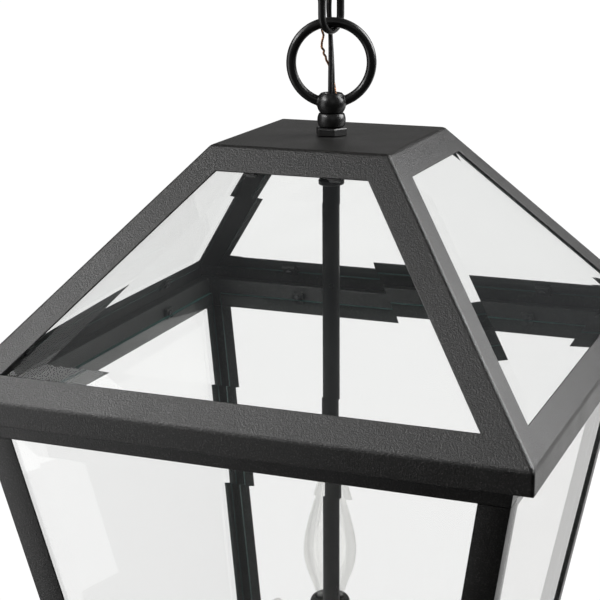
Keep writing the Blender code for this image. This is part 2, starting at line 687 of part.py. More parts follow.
clear_scene()
canopy()
canopy_hardware()
canopy_loop()
chain()
cords()
fixed = set(bpy.data.objects)
lantern_loop()
plate_hardware()
roof_frame()
roof_glass()
body_top_frame()
corner_posts()
bottom_frame()
body_glass()
cluster()
hang_on_chain([made for made in bpy.data.objects if made not in fixed and not made.hide_render])
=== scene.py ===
"""Looks of the hanging lantern: powder-coated frame, bevelled glass, clear bulbs, chain, cords and canopy."""

import json
from math import acos, atan2, cos, exp, hypot, pi, radians, sin, sqrt, tan

import bmesh
import bpy
from mathutils import Matrix, Vector
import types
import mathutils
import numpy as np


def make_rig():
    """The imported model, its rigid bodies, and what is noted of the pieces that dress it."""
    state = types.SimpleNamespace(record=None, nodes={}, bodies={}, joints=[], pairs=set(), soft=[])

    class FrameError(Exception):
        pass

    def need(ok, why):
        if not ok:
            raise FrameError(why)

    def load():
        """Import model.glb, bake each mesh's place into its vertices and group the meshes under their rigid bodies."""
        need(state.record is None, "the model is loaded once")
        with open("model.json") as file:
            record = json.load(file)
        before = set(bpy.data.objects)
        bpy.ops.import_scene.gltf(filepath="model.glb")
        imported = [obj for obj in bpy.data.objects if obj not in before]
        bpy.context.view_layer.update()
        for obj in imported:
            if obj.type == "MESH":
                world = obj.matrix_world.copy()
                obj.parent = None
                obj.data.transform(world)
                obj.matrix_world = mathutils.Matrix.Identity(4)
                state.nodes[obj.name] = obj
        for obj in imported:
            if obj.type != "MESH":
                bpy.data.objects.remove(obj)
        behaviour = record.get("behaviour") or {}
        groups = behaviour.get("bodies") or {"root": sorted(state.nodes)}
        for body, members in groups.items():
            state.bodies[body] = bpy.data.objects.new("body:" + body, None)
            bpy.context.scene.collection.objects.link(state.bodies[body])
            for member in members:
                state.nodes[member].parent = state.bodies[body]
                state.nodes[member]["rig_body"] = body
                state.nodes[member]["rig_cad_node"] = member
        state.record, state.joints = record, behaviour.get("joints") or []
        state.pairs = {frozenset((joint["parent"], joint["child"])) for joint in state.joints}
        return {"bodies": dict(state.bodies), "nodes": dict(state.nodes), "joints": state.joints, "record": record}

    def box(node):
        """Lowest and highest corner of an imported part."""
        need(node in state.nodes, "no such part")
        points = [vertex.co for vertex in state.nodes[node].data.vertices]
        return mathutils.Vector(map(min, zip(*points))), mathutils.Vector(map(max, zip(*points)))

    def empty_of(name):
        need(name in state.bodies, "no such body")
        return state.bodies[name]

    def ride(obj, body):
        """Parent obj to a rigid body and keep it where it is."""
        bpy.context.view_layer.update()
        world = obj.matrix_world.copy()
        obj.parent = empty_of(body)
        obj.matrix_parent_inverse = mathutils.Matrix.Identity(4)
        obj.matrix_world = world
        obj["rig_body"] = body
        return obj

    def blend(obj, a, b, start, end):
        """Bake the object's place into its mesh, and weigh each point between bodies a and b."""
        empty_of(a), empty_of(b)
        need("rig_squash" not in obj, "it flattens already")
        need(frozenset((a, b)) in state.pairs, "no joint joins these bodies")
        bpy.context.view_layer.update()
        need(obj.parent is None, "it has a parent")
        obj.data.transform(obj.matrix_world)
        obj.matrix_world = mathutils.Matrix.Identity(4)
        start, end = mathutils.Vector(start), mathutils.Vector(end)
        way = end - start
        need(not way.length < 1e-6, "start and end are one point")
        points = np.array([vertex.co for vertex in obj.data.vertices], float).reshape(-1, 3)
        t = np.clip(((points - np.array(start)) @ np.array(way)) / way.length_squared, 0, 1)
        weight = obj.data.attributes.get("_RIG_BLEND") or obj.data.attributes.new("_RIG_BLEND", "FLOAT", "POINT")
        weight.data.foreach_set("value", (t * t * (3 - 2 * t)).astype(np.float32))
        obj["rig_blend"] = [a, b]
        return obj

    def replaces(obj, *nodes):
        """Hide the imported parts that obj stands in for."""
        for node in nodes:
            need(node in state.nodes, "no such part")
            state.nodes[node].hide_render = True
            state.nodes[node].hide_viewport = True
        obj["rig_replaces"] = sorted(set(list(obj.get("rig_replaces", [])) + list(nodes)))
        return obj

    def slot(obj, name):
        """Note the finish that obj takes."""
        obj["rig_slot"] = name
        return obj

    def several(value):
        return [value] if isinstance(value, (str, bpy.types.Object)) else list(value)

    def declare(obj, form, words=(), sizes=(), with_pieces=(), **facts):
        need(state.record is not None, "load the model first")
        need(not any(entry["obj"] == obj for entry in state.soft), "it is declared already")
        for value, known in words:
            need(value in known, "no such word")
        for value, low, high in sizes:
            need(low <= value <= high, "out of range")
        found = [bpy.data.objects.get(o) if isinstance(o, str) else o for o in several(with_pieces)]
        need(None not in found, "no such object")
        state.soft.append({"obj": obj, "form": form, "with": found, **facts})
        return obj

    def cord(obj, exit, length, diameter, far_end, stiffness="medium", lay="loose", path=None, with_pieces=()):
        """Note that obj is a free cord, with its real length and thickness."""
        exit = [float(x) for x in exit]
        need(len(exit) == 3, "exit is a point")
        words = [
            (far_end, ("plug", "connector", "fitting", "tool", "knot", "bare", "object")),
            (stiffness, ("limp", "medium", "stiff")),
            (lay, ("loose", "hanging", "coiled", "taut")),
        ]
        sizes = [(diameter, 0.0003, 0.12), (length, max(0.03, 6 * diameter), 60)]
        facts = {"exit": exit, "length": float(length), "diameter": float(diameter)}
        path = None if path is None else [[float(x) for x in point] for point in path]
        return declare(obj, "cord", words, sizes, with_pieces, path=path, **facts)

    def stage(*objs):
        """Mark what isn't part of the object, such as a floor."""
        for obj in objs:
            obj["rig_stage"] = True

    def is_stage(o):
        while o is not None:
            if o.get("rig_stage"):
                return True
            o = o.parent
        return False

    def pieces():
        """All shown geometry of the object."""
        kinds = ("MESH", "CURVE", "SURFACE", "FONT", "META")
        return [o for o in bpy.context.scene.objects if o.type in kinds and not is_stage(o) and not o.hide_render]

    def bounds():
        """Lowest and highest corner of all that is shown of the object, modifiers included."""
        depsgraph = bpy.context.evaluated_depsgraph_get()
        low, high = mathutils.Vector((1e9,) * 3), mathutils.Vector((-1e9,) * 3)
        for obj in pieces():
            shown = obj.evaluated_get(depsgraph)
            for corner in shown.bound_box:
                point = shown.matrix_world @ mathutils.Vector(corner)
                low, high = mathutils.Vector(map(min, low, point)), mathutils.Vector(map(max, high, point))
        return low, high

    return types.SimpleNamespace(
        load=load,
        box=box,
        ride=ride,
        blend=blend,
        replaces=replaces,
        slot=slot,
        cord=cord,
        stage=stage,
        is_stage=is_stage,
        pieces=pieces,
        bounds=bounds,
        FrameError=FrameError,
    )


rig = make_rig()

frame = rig.load()
cad_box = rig.bounds()

# ---------------------------------------------------------------- places and sizes, in metres


def heights(node):
    """The bottom and the top of a CAD node."""
    low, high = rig.box(node)
    return low.z, high.z


roof_low, roof_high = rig.box("roof_frame")
PLATE, EAVE_HALF, SKIRT_BOTTOM = roof_high.z, roof_high.x, roof_low.z
SKIRT = 0.0131
EAVE = SKIRT_BOTTOM + SKIRT
PLATE_HALF, PLATE_HOLE = 0.053, 0.0053
SHEET = 0.0012
FOLD, CUT_EDGE = 0.0019, 0.0004
RAIL, HIP_BAR, TOP_BAR, RETURN_HALF = 0.0165, 0.016, 0.017, 0.1545
ROOF_RUN, ROOF_HEIGHT = EAVE_HALF - PLATE_HALF, PLATE - EAVE
ROOF_SLOPE = atan2(ROOF_HEIGHT, ROOF_RUN)
ROOF_LENGTH = hypot(ROOF_HEIGHT, ROOF_RUN)
HIP_GAIN = ROOF_RUN / ROOF_LENGTH

GAP = 0.0003
TAPER = 0.178
BODY_TOP_HALF = 0.1526
BODY_SHEET = 0.0012
BAND_BOTTOM, BAND_TOP = heights("body_top_frame")
BODY_BOTTOM, BOTTOM_BAND_TOP = heights("bottom_frame")
LIP_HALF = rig.box("body_top_frame")[1].x
FRONT_LEG, SIDE_LEG = 0.017, 0.012
GLASS, GLASS_BEVEL = 0.004, 0.019
ROOF_GLASS_EDGE, BODY_GLASS_EDGE = 0.0029, 0.0028
CLIP_STEP = GLASS + 0.0009

LOOP_TURN, LINK_TURN = radians(22), radians(75)
LOOP_CENTRE, LOOP_RING_R, LOOP_WIRE_R = 0.04195, 0.0232, 0.0029
BALL_CENTRE, BALL_R, BALL_BORE = 0.0186, 0.0086, 0.0042
LINK_WIRE_R, LINK_WIDTH, LINK_LENGTH = 0.0022, 0.0226, 0.0406
PIPE_PITCH, CANDELABRA_PITCH = 0.00094, 0.00254
PIPE_BORE = 0.00545

CANDLES = tuple(((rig.box(f"cup_{k}")[0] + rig.box(f"cup_{k}")[1]) / 2).to_2d() for k in (1, 2, 3))
SIDES = (("front", 0.0), ("right", pi / 2), ("back", pi), ("left", -pi / 2))


def body_half(z):
    """Half the body's width at a height."""
    return BODY_TOP_HALF + TAPER * (z - SKIRT_BOTTOM)


def on_roof(across, along, depth):
    """A point of the front roof slope: across, up the slope from the eave, and depth under the outer face."""
    y = -EAVE_HALF + along * cos(ROOF_SLOPE) + depth * sin(ROOF_SLOPE)
    z = EAVE + along * sin(ROOF_SLOPE) - depth * cos(ROOF_SLOPE)
    return Vector((across, y, z))


def roof_half_at(along, hip_inset):
    """Half the slope's width at a distance up it, less an inset square to the hip."""
    return EAVE_HALF - along * HIP_GAIN - hip_inset * sqrt(1 + HIP_GAIN ** 2)


def turn_z(points, angle):
    """Points turned about Z."""
    m = Matrix.Rotation(angle, 3, "Z")
    return [m @ Vector(p) for p in points]


# ---------------------------------------------------------------- materials


class Tree:
    """A node tree with short ways to add nodes and join them."""

    def __init__(self, tree):
        self.tree = tree

    def add(self, kind, inputs=None, **settings):
        node = self.tree.nodes.new(kind)
        for key, value in settings.items():
            setattr(node, key, value)
        for key, value in (inputs or {}).items():
            self.put(node.inputs[key], value)
        return node

    def put(self, socket, value):
        if isinstance(value, bpy.types.NodeSocket):
            self.tree.links.new(value, socket)
        elif isinstance(value, tuple) and len(value) == 3 and socket.type == "RGBA":
            socket.default_value = (*value, 1.0)
        else:
            socket.default_value = value

    def math(self, operation, *values):
        node = self.add("ShaderNodeMath", operation=operation)
        for socket, value in zip(node.inputs, values):
            self.put(socket, value)
        return node.outputs[0]

    def mixed(self, share, first, second):
        """Two shaders mixed; a share of 1 is all second."""
        return self.add("ShaderNodeMixShader", {0: share, 1: first, 2: second}).outputs[0]


class Nodes(Tree):
    """A new material's node tree."""

    def __init__(self, name):
        self.material = bpy.data.materials.new(name)
        self.material.use_nodes = True
        super().__init__(self.material.node_tree)
        self.shader = self.tree.nodes["Principled BSDF"]
        self.output = self.tree.nodes["Material Output"]
        self.where = self.add("ShaderNodeTexCoord").outputs["Object"]

    def set(self, **values):
        for key, value in values.items():
            self.put(self.shader.inputs[key.replace("_", " ")], value)

    def noise(self, scale, detail=2.0, roughness=0.5):
        settings = {"Vector": self.where, "Scale": scale, "Detail": detail, "Roughness": roughness}
        return self.add("ShaderNodeTexNoise", settings).outputs["Fac"]

    def ramp(self, value, low, high, to_low, to_high):
        """A smooth change of a value from one range to another."""
        settings = {"Value": value, "From Min": low, "From Max": high, "To Min": to_low, "To Max": to_high}
        return self.add("ShaderNodeMapRange", settings).outputs["Result"]

    def blend(self, share, a, b):
        """Two colours mixed; their sockets are the mix node's seventh and eighth."""
        return self.add("ShaderNodeMix", {"Factor": share, 6: a, 7: b}, data_type="RGBA").outputs[2]

    def bump(self, height, distance, strength=1.0, under=None):
        settings = {"Height": height, "Distance": distance, "Strength": strength}
        if under is not None:
            settings["Normal"] = under
        return self.add("ShaderNodeBump", settings).outputs["Normal"]


def powder_coat():
    """Black powder coat with a fine sand texture and slightly paler grains."""
    n = Nodes("powder_coat")
    grain = n.noise(1150.0, 3.0, 0.68)
    patch = n.noise(38.0, 3.0)
    speck = n.ramp(grain, 0.54, 0.68, 0.0, 1.0)
    base = n.blend(patch, (0.0062, 0.0060, 0.0058), (0.0098, 0.0094, 0.0090))
    n.set(Base_Color=n.blend(speck, base, (0.062, 0.060, 0.057)), IOR=1.5, Specular_IOR_Level=0.8)
    n.set(Roughness=n.ramp(patch, 0.3, 0.7, 0.34, 0.41))
    wave = n.bump(n.noise(420.0, 2.0), 0.00006, 0.5)
    n.set(Normal=n.bump(grain, 0.00034, 0.9, wave))
    return n.material


def satin_black():
    """Satin black enamel on cast and drawn metal, with a faint orange peel."""
    n = Nodes("satin_black")
    patch = n.noise(70.0, 3.0)
    n.set(Base_Color=n.blend(patch, (0.0095, 0.0095, 0.0098), (0.0155, 0.0152, 0.0148)), IOR=1.5)
    n.set(Roughness=n.ramp(patch, 0.3, 0.7, 0.27, 0.36), Coat_Weight=0.2, Coat_Roughness=0.25)
    n.set(Normal=n.bump(n.noise(420.0, 2.0), 0.00008, 0.5))
    return n.material


def see_through(n, shader, clear):
    """Lets lamps and daylight through to what is behind, as thin glass does."""
    light = n.add("ShaderNodeLightPath").outputs["Is Shadow Ray"]
    clear_way = n.add("ShaderNodeBsdfTransparent", {"Color": clear}).outputs[0]
    n.put(n.output.inputs["Surface"], n.mixed(light, shader, clear_way))


def pane_glass(name, clear, quiet, film):
    """Clear glass; quiet is how much of its reflection is taken off, film how much fine dust lies on it."""
    n = Nodes(name)
    n.set(Base_Color=clear, Roughness=0.0, IOR=1.52, Transmission_Weight=1.0)
    through = n.add("ShaderNodeBsdfRefraction", {"Color": clear, "Roughness": 0.0, "IOR": 1.52}).outputs[0]
    dust = n.add("ShaderNodeBsdfDiffuse", {"Color": (0.78, 0.80, 0.83), "Roughness": 0.5}).outputs[0]
    amount = n.ramp(n.noise(24.0, 4.0, 0.6), 0.3, 0.7, film * 0.8, film * 1.2)
    coated = n.mixed(quiet, n.shader.outputs[0], through)
    see_through(n, n.mixed(amount, coated, dust), (0.93, 0.96, 0.95))
    return n.material


def pane_edge():
    """The ground green edge of float glass."""
    n = Nodes("pane_edge")
    grind = n.noise(900.0, 3.0)
    tone = n.blend(grind, (0.018, 0.060, 0.054), (0.030, 0.105, 0.094))
    n.set(Base_Color=tone, IOR=1.52, Transmission_Weight=0.2)
    n.set(Roughness=n.ramp(grind, 0.3, 0.7, 0.32, 0.5), Normal=n.bump(grind, 0.00008, 0.5))
    return n.material


def bulb_glass():
    """A blown wall, so thin that it hardly bends what is seen through it."""
    n = Nodes("bulb_glass")
    n.set(Base_Color=(0.985, 0.99, 0.99), Roughness=0.0, IOR=1.47, Transmission_Weight=1.0)
    thin = n.add("ShaderNodeBsdfTransparent", {"Color": (0.985, 0.985, 0.98)}).outputs[0]
    see_through(n, n.mixed(0.86, n.shader.outputs[0], thin), (0.95, 0.96, 0.96))
    return n.material


def metal(name, dark, light, low, high, scale=160.0):
    """Bare metal whose tone and gloss vary a little, with fine tool marks."""
    n = Nodes(name)
    patch = n.noise(scale, 4.0)
    n.set(Base_Color=n.blend(patch, dark, light), Metallic=1.0)
    n.set(Roughness=n.ramp(patch, 0.3, 0.7, low, high), Normal=n.bump(n.noise(1400.0, 2.0), 0.00003, 0.5))
    return n.material


def matt_black(name, dark, light, low, high, fine, depth):
    """Moulded black plastic with a fine grain."""
    n = Nodes(name)
    patch = n.noise(fine / 8, 3.0)
    n.set(Base_Color=n.blend(patch, dark, light), Roughness=n.ramp(patch, 0.3, 0.7, low, high))
    n.set(Normal=n.bump(n.noise(fine, 3.0), depth, 0.5))
    return n.material


def filament_metal():
    """Drawn tungsten wire."""
    n = Nodes("tungsten")
    grain = n.noise(2500.0, 2.0)
    n.set(Base_Color=n.blend(grain, (0.10, 0.10, 0.105), (0.22, 0.21, 0.20)), Metallic=1.0, Roughness=0.42)
    return n.material


COAT = powder_coat()
SATIN = satin_black()
ROOF_PANE = pane_glass("roof_pane_glass", (0.972, 0.974, 0.971), 0.75, 0.016)
BODY_PANE = pane_glass("body_pane_glass", (0.986, 0.987, 0.984), 0.15, 0.004)
EDGE = pane_edge()
BULB = bulb_glass()
ZINC = metal("zinc_plate", (0.42, 0.43, 0.44), (0.62, 0.63, 0.64), 0.28, 0.45)
GREEN = metal("green_zinc", (0.03, 0.20, 0.07), (0.07, 0.33, 0.13), 0.3, 0.45)
BRASS = metal("brass", (0.62, 0.44, 0.17), (0.80, 0.62, 0.30), 0.2, 0.35)
COPPER = metal("bare_copper", (0.74, 0.33, 0.15), (0.96, 0.56, 0.33), 0.30, 0.45, 300.0)
SOLDER = metal("solder", (0.45, 0.45, 0.44), (0.62, 0.61, 0.58), 0.3, 0.5)
SCREW = metal("black_screw", (0.05, 0.05, 0.052), (0.11, 0.11, 0.112), 0.3, 0.45)
PHENOLIC = matt_black("phenolic", (0.011, 0.010, 0.010), (0.024, 0.022, 0.021), 0.38, 0.55, 1300.0, 0.00005)
JACKET = matt_black("vinyl_jacket", (0.0085, 0.0085, 0.009), (0.016, 0.016, 0.0165), 0.30, 0.42, 900.0,
                    0.00004)
TUNGSTEN = filament_metal()

# ---------------------------------------------------------------- mesh helpers


def mesh_data(name, points, faces, angle=None):
    """A mesh; with an angle it is smooth, and sharp only where its faces meet at more than that."""
    data = bpy.data.meshes.new(name)
    bm = bmesh.new()
    corners = [bm.verts.new(p) for p in points]
    for face in faces:
        bm.faces.new([corners[i] for i in face])
    bmesh.ops.recalc_face_normals(bm, faces=bm.faces)
    bm.to_mesh(data)
    bm.free()
    if angle is not None:
        data.shade_smooth()
        data.set_sharp_from_angle(angle=radians(angle))
    return data


def claim(made, body, replaces=(), slot=None):
    """The body that the piece rides, the CAD nodes that it stands for and its material's slot."""
    if body:
        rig.ride(made, body)
    if replaces:
        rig.replaces(made, replaces)
    if slot:
        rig.slot(made, slot)
    return made


def loose(name, data):
    """An object that isn't part of the lantern yet, or only a tool."""
    made = bpy.data.objects.new(name, data)
    bpy.context.scene.collection.objects.link(made)
    return made


def add(name, data, body, material, replaces=(), slot=None, at=(0, 0, 0), turn=0.0):
    """A piece of the lantern that moves with a body and stands for a CAD node."""
    made = loose(name, data)
    made.location = at
    made.rotation_euler = (0, 0, turn)
    data.materials.append(material)
    return claim(made, body, replaces, slot)


def bevel(made, width, segments=3, angle=25.0, weighted=True):
    """Rounds every sharp edge."""
    made.data.shade_smooth()
    edge = made.modifiers.new("rounded", "BEVEL")
    edge.width = width
    edge.segments = segments
    edge.limit_method = "ANGLE"
    edge.angle_limit = radians(angle)
    if weighted:
        normal = made.modifiers.new("normals", "WEIGHTED_NORMAL")
        normal.keep_sharp = True
        normal.weight = 60
    return made


def rounded(profile, radius, steps=4):
    """A closed profile with each corner turned into an arc of at most that radius."""
    count = len(profile)
    made = []
    for i, here in enumerate(profile):
        before, after = Vector(profile[i - 1]), Vector(profile[(i + 1) % count])
        corner = Vector(here)
        a, b = before - corner, after - corner
        if a.length < 1e-9 or b.length < 1e-9:
            made.append(here)
            continue
        half = acos(max(-1.0, min(1.0, a.normalized().dot(b.normalized())))) / 2
        if half > radians(82) or half < radians(5):
            made.append(here)
            continue
        cut = min(radius / tan(half), a.length * 0.48, b.length * 0.48)
        size = cut * tan(half)
        middle = corner + (a.normalized() + b.normalized()).normalized() * (size / sin(half))
        first, last = corner + a.normalized() * cut, corner + b.normalized() * cut
        for k in range(steps + 1):
            t = k / steps
            spot = first.lerp(last, t) - middle
            made.append(tuple(middle + spot.normalized() * size))
    return made


def turned(name, profile, segments=64, angle=40.0):
    """A profile of (radius, height) spun about Z. Points on the axis close the ends."""
    points, rings = [], []
    for r, z in profile:
        if r < 1e-7:
            rings.append([len(points)])
            points.append((0, 0, z))
        else:
            rings.append([len(points) + i for i in range(segments)])
            points += [(x, y, z) for x, y in circle(r, segments)]
    open_ends = len(rings[0]) == 1 or len(rings[-1]) == 1
    pairs = list(zip(rings, rings[1:])) + ([] if open_ends else [(rings[-1], rings[0])])
    faces = []
    for low, high in pairs:
        for i in range(segments):
            j = (i + 1) % segments
            if len(low) == 1 and len(high) == 1:
                continue
            if len(low) == 1:
                faces.append((low[0], high[i], high[j]))
            elif len(high) == 1:
                faces.append((low[i], low[j], high[0]))
            else:
                faces.append((low[i], low[j], high[j], high[i]))
    return mesh_data(name, points, faces, angle=angle)


def loft(name, rings, angle=None):
    """A closed body through rings that all have the same number of points."""
    count = len(rings[0])
    points = [p for ring in rings for p in ring]
    faces = [list(range(count)), [len(points) - count + i for i in range(count)]]
    for level in range(len(rings) - 1):
        low, high = level * count, (level + 1) * count
        faces += [(low + i, low + (i + 1) % count, high + (i + 1) % count, high + i) for i in range(count)]
    return mesh_data(name, points, faces, angle=angle)


def smooth_route(stops, step):
    """Points about step apart on a smooth curve through the stops."""
    stops = [Vector(s) for s in stops]
    ends = [2 * stops[0] - stops[1], *stops, 2 * stops[-1] - stops[-2]]
    route = []
    for a, b, c, d in zip(ends, ends[1:], ends[2:], ends[3:]):
        count = max(1, round((c - b).length / step))
        for i in range(count):
            t = i / count
            route.append(0.5 * (2 * b + (c - a) * t + (2 * a - 5 * b + 4 * c - d) * t ** 2
                                + (3 * b - a - 3 * c + d) * t ** 3))
    return [*route, stops[-1]]


def sweep(name, route, section, closed=False, across=None, angle=60.0):
    """A tube along a route. section(i) gives its outline as (u, v); across(i) gives the direction of u."""
    count = len(route)
    rings, side = [], None
    for i, spot in enumerate(route):
        ahead = route[(i + 1) % count] if closed or i < count - 1 else route[i]
        behind = route[i - 1] if closed or i > 0 else route[i]
        tangent = (Vector(ahead) - Vector(behind)).normalized()
        if across is not None:
            side = Vector(across(i))
        elif side is None:
            side = Vector((0.31, 0.17, 1.0)) if abs(tangent.z) < 0.9 else Vector((1.0, 0.2, 0.0))
        side = (side - tangent * side.dot(tangent)).normalized()
        up = tangent.cross(side)
        rings.append([Vector(spot) + side * u + up * v for u, v in section(i)])
    points = [p for ring in rings for p in ring]
    n = len(rings[0])
    faces = []
    for level in range(count if closed else count - 1):
        low, high = level * n, ((level + 1) % count) * n
        faces += [(low + k, low + (k + 1) % n, high + (k + 1) % n, high + k) for k in range(n)]
    if not closed:
        faces += [list(range(n)), [len(points) - n + k for k in range(n)]]
    return mesh_data(name, points, faces, angle=angle)


def circle(radius, sides):
    """Points of (u, v) round a circle."""
    return [(radius * cos(2 * pi * k / sides), radius * sin(2 * pi * k / sides)) for k in range(sides)]


def smooth_outline(stops, step):
    """A smooth outline through stops of (radius, height)."""
    return [(p.x, p.z) for p in smooth_route([(r, 0, z) for r, z in stops], step)]


def thinned(outline, wall):
    """An outline of (radius, height) moved inwards by a wall's thickness."""
    made = []
    for i, (r, z) in enumerate(outline):
        a, b = outline[max(0, i - 1)], outline[min(len(outline) - 1, i + 1)]
        t = Vector((b[0] - a[0], b[1] - a[1])).normalized()
        made.append((max(0.0, r - t.y * wall), z + t.x * wall))
    return made


def thread(radius, depth, pitch, start, stop):
    """The zigzag side of a thread as (radius, height)."""
    side, z = [], start
    while z < stop:
        side += [(radius, z), (radius - depth, z + pitch / 2)]
        z += pitch
    return side


def baked(made):
    """The piece's mesh with its modifiers applied."""
    bpy.context.view_layer.update()
    graph = bpy.context.evaluated_depsgraph_get()
    data = bpy.data.meshes.new_from_object(made.evaluated_get(graph))
    made.modifiers.clear()
    made.data = data
    return made


def cut(made, tool, operation="DIFFERENCE"):
    """The piece with a tool cut from it or joined to it; the tool goes."""
    change = made.modifiers.new("cut", "BOOLEAN")
    change.operation = operation
    change.solver = "EXACT"
    change.object = tool
    baked(made)
    bpy.data.objects.remove(tool, do_unlink=True)
    return made


def bored(made, radius, low, high):
    """The piece with a round hole through it along Z."""
    clear = 0.01
    hole = [(0, low - clear), (radius, low - clear), (radius, high + clear), (0, high + clear)]
    return cut(made, loose("bore", turned("bore", hole, 32)))


def square_ring(name, profile):
    """A profile of (half width, height) carried round a square with mitred corners."""
    points, faces, count = [], [], len(profile)
    for x_side, y_side in ((-1, -1), (1, -1), (1, 1), (-1, 1)):
        points += [(x_side * r, y_side * r, z) for r, z in profile]
    for side in range(4):
        a, b = side * count, ((side + 1) % 4) * count
        faces += [(a + k, b + k, b + (k + 1) % count, a + (k + 1) % count) for k in range(count)]
    return mesh_data(name, points, faces)


def hex_nut(name, node, body, material, slot, flats, hole, foot, top, soft):
    """A hexagon nut; foot and top are its chamfers (inset, height), soft is its edges' (radius, steps)."""
    low, high = heights(node)
    reach = flats / sqrt(3)
    levels = ((low, reach - foot[0]), (low + foot[1], reach), (high - top[1], reach), (high, reach - top[0]))
    rings = [[(x, y, z) for x, y in circle(r, 6)] for z, r in levels]
    nut = bored(add(name, loft("nut", rings), None, material), hole, low, high)
    claim(nut, body, node, slot)
    bevel(nut, *soft, 20)


# ---------------------------------------------------------------- roof


def roof():
    """Plate, hip bars, bottom rail and skirt folded from one sheet, with soft rounded folds."""
    hole, quarter = PLATE_HOLE, 12
    inner_eave = EAVE_HALF - SHEET
    eave_inside = EAVE + (EAVE_HALF - inner_eave - SHEET / sin(ROOF_SLOPE)) * tan(ROOF_SLOPE)
    under = PLATE - SHEET
    inner_top = inner_eave - (under - eave_inside) / tan(ROOF_SLOPE)
    bm = bmesh.new()

    def face(points, angle):
        bm.faces.new([bm.verts.new(p) for p in turn_z(points, angle)])

    for _, angle in SIDES:
        outer = [on_roof(-EAVE_HALF, 0, 0), on_roof(EAVE_HALF, 0, 0),
                 on_roof(PLATE_HALF, ROOF_LENGTH, 0), on_roof(-PLATE_HALF, ROOF_LENGTH, 0)]
        inner = [(-inner_eave, -inner_eave, eave_inside), (inner_eave, -inner_eave, eave_inside),
                 (inner_top, -inner_top, under), (-inner_top, -inner_top, under)]
        low, top = RAIL, ROOF_LENGTH - TOP_BAR
        window = [(-roof_half_at(low, HIP_BAR), low), (roof_half_at(low, HIP_BAR), low),
                  (roof_half_at(top, HIP_BAR), top), (-roof_half_at(top, HIP_BAR), top)]
        out_w = [on_roof(x, a, 0) for x, a in window]
        in_w = [on_roof(x, a, SHEET) for x, a in window]
        for k in range(4):
            j = (k + 1) % 4
            face([outer[k], outer[j], out_w[j], out_w[k]], angle)
            face([in_w[k], in_w[j], inner[j], inner[k]], angle)
            face([out_w[k], out_w[j], in_w[j], in_w[k]], angle)
        e, r, b, f = EAVE_HALF, RETURN_HALF, SKIRT_BOTTOM, SKIRT_BOTTOM + SHEET
        face([(-e, -e, EAVE), (e, -e, EAVE), (e, -e, b), (-e, -e, b)], angle)
        face([(-e, -e, b), (e, -e, b), (r, -r, b), (-r, -r, b)], angle)
        face([(-r, -r, b), (r, -r, b), (r, -r, f), (-r, -r, f)], angle)
        face([(-r, -r, f), (r, -r, f), (inner_eave, -inner_eave, f), (-inner_eave, -inner_eave, f)], angle)
        face([(-inner_eave, -inner_eave, f), (inner_eave, -inner_eave, f),
              (inner_eave, -inner_eave, eave_inside), (-inner_eave, -inner_eave, eave_inside)], angle)
        for height, half in ((PLATE, PLATE_HALF), (under, inner_top)):
            bearings = [pi / 4 - pi / 2 * k / quarter for k in range(quarter + 1)]
            arc = [(hole * sin(b), -hole * cos(b), height) for b in bearings]
            face([(-half, -half, height), (half, -half, height), *arc], angle)
        for k in range(quarter):
            a, c = (pi / 4 - pi / 2 * i / quarter for i in (k, k + 1))
            spots = [(hole * sin(t), -hole * cos(t)) for t in (a, c)]
            face([(*spots[0], PLATE), (*spots[1], PLATE), (*spots[1], under), (*spots[0], under)], angle)
    bmesh.ops.remove_doubles(bm, verts=bm.verts, dist=1e-6)
    bmesh.ops.recalc_face_normals(bm, faces=bm.faces)
    weight = bm.edges.layers.float.new("bevel_weight_edge")
    for edge in bm.edges:
        if edge.calc_face_angle(0) < radians(20):
            continue
        ends = [v.co for v in edge.verts]
        on_corner = all(abs(abs(c.x) - abs(c.y)) < 1e-6 for c in ends)
        outside = all(abs(abs(c.x) - (EAVE_HALF if c.z < PLATE - 1e-6 else PLATE_HALF)) < 1e-6 for c in ends)
        folded = on_corner and outside and max(c.z for c in ends) > EAVE - 1e-6
        edge[weight] = 1.0 if folded else CUT_EDGE / FOLD
    data = bpy.data.meshes.new("roof_frame")
    bm.to_mesh(data)
    bm.free()
    made = add("lantern_roof", data, "lantern", COAT, "roof_frame", "powder_coat")
    soft = bevel(made, FOLD, 5).modifiers["rounded"]
    soft.limit_method = "WEIGHT"
    soft.use_clamp_overlap = False


def pane(name, corners_at, turn, edge, glass, replaces):
    """Bevelled glass: a flat back, a thin ground edge, a wide polished bevel and a flat front."""
    thin = GLASS - edge
    rings = [corners_at(0.0, GLASS), corners_at(0.0, thin), corners_at(GLASS_BEVEL, 0.0)]
    rings = [turn_z(ring, turn) for ring in rings]
    data = loft(name, rings)
    made = add(name, data, "lantern", glass, replaces, "pane_glass")
    data.materials.append(EDGE)
    for polygon in data.polygons:
        corners = set(polygon.vertices)
        if corners & set(range(4)) and corners & set(range(4, 8)):
            polygon.material_index = 1
    softened = made.modifiers.new("arris", "BEVEL")
    softened.width = 0.00022
    softened.segments = 2
    softened.limit_method = "ANGLE"
    softened.angle_limit = radians(3)
    data.shade_smooth()
    made.modifiers.new("normals", "WEIGHTED_NORMAL").weight = 100


def roof_panes():
    """Panes under the roof's windows, overlapped by the bars all round."""
    bottom, top, inset = RAIL - 0.0095, ROOF_LENGTH - TOP_BAR + 0.004, HIP_BAR - 0.004

    def corners_at(rim, depth):
        low, high = roof_half_at(bottom + rim, inset + rim), roof_half_at(top - rim, inset + rim)
        under = SHEET + GAP + depth
        spots = ((-low, bottom + rim), (low, bottom + rim), (high, top - rim), (-high, top - rim))
        return [on_roof(x, a, under) for x, a in spots]

    for side, turn in SIDES:
        pane(f"roof_pane_{side}", corners_at, turn, ROOF_GLASS_EDGE, ROOF_PANE, f"roof_glass_{side}")


# ---------------------------------------------------------------- body


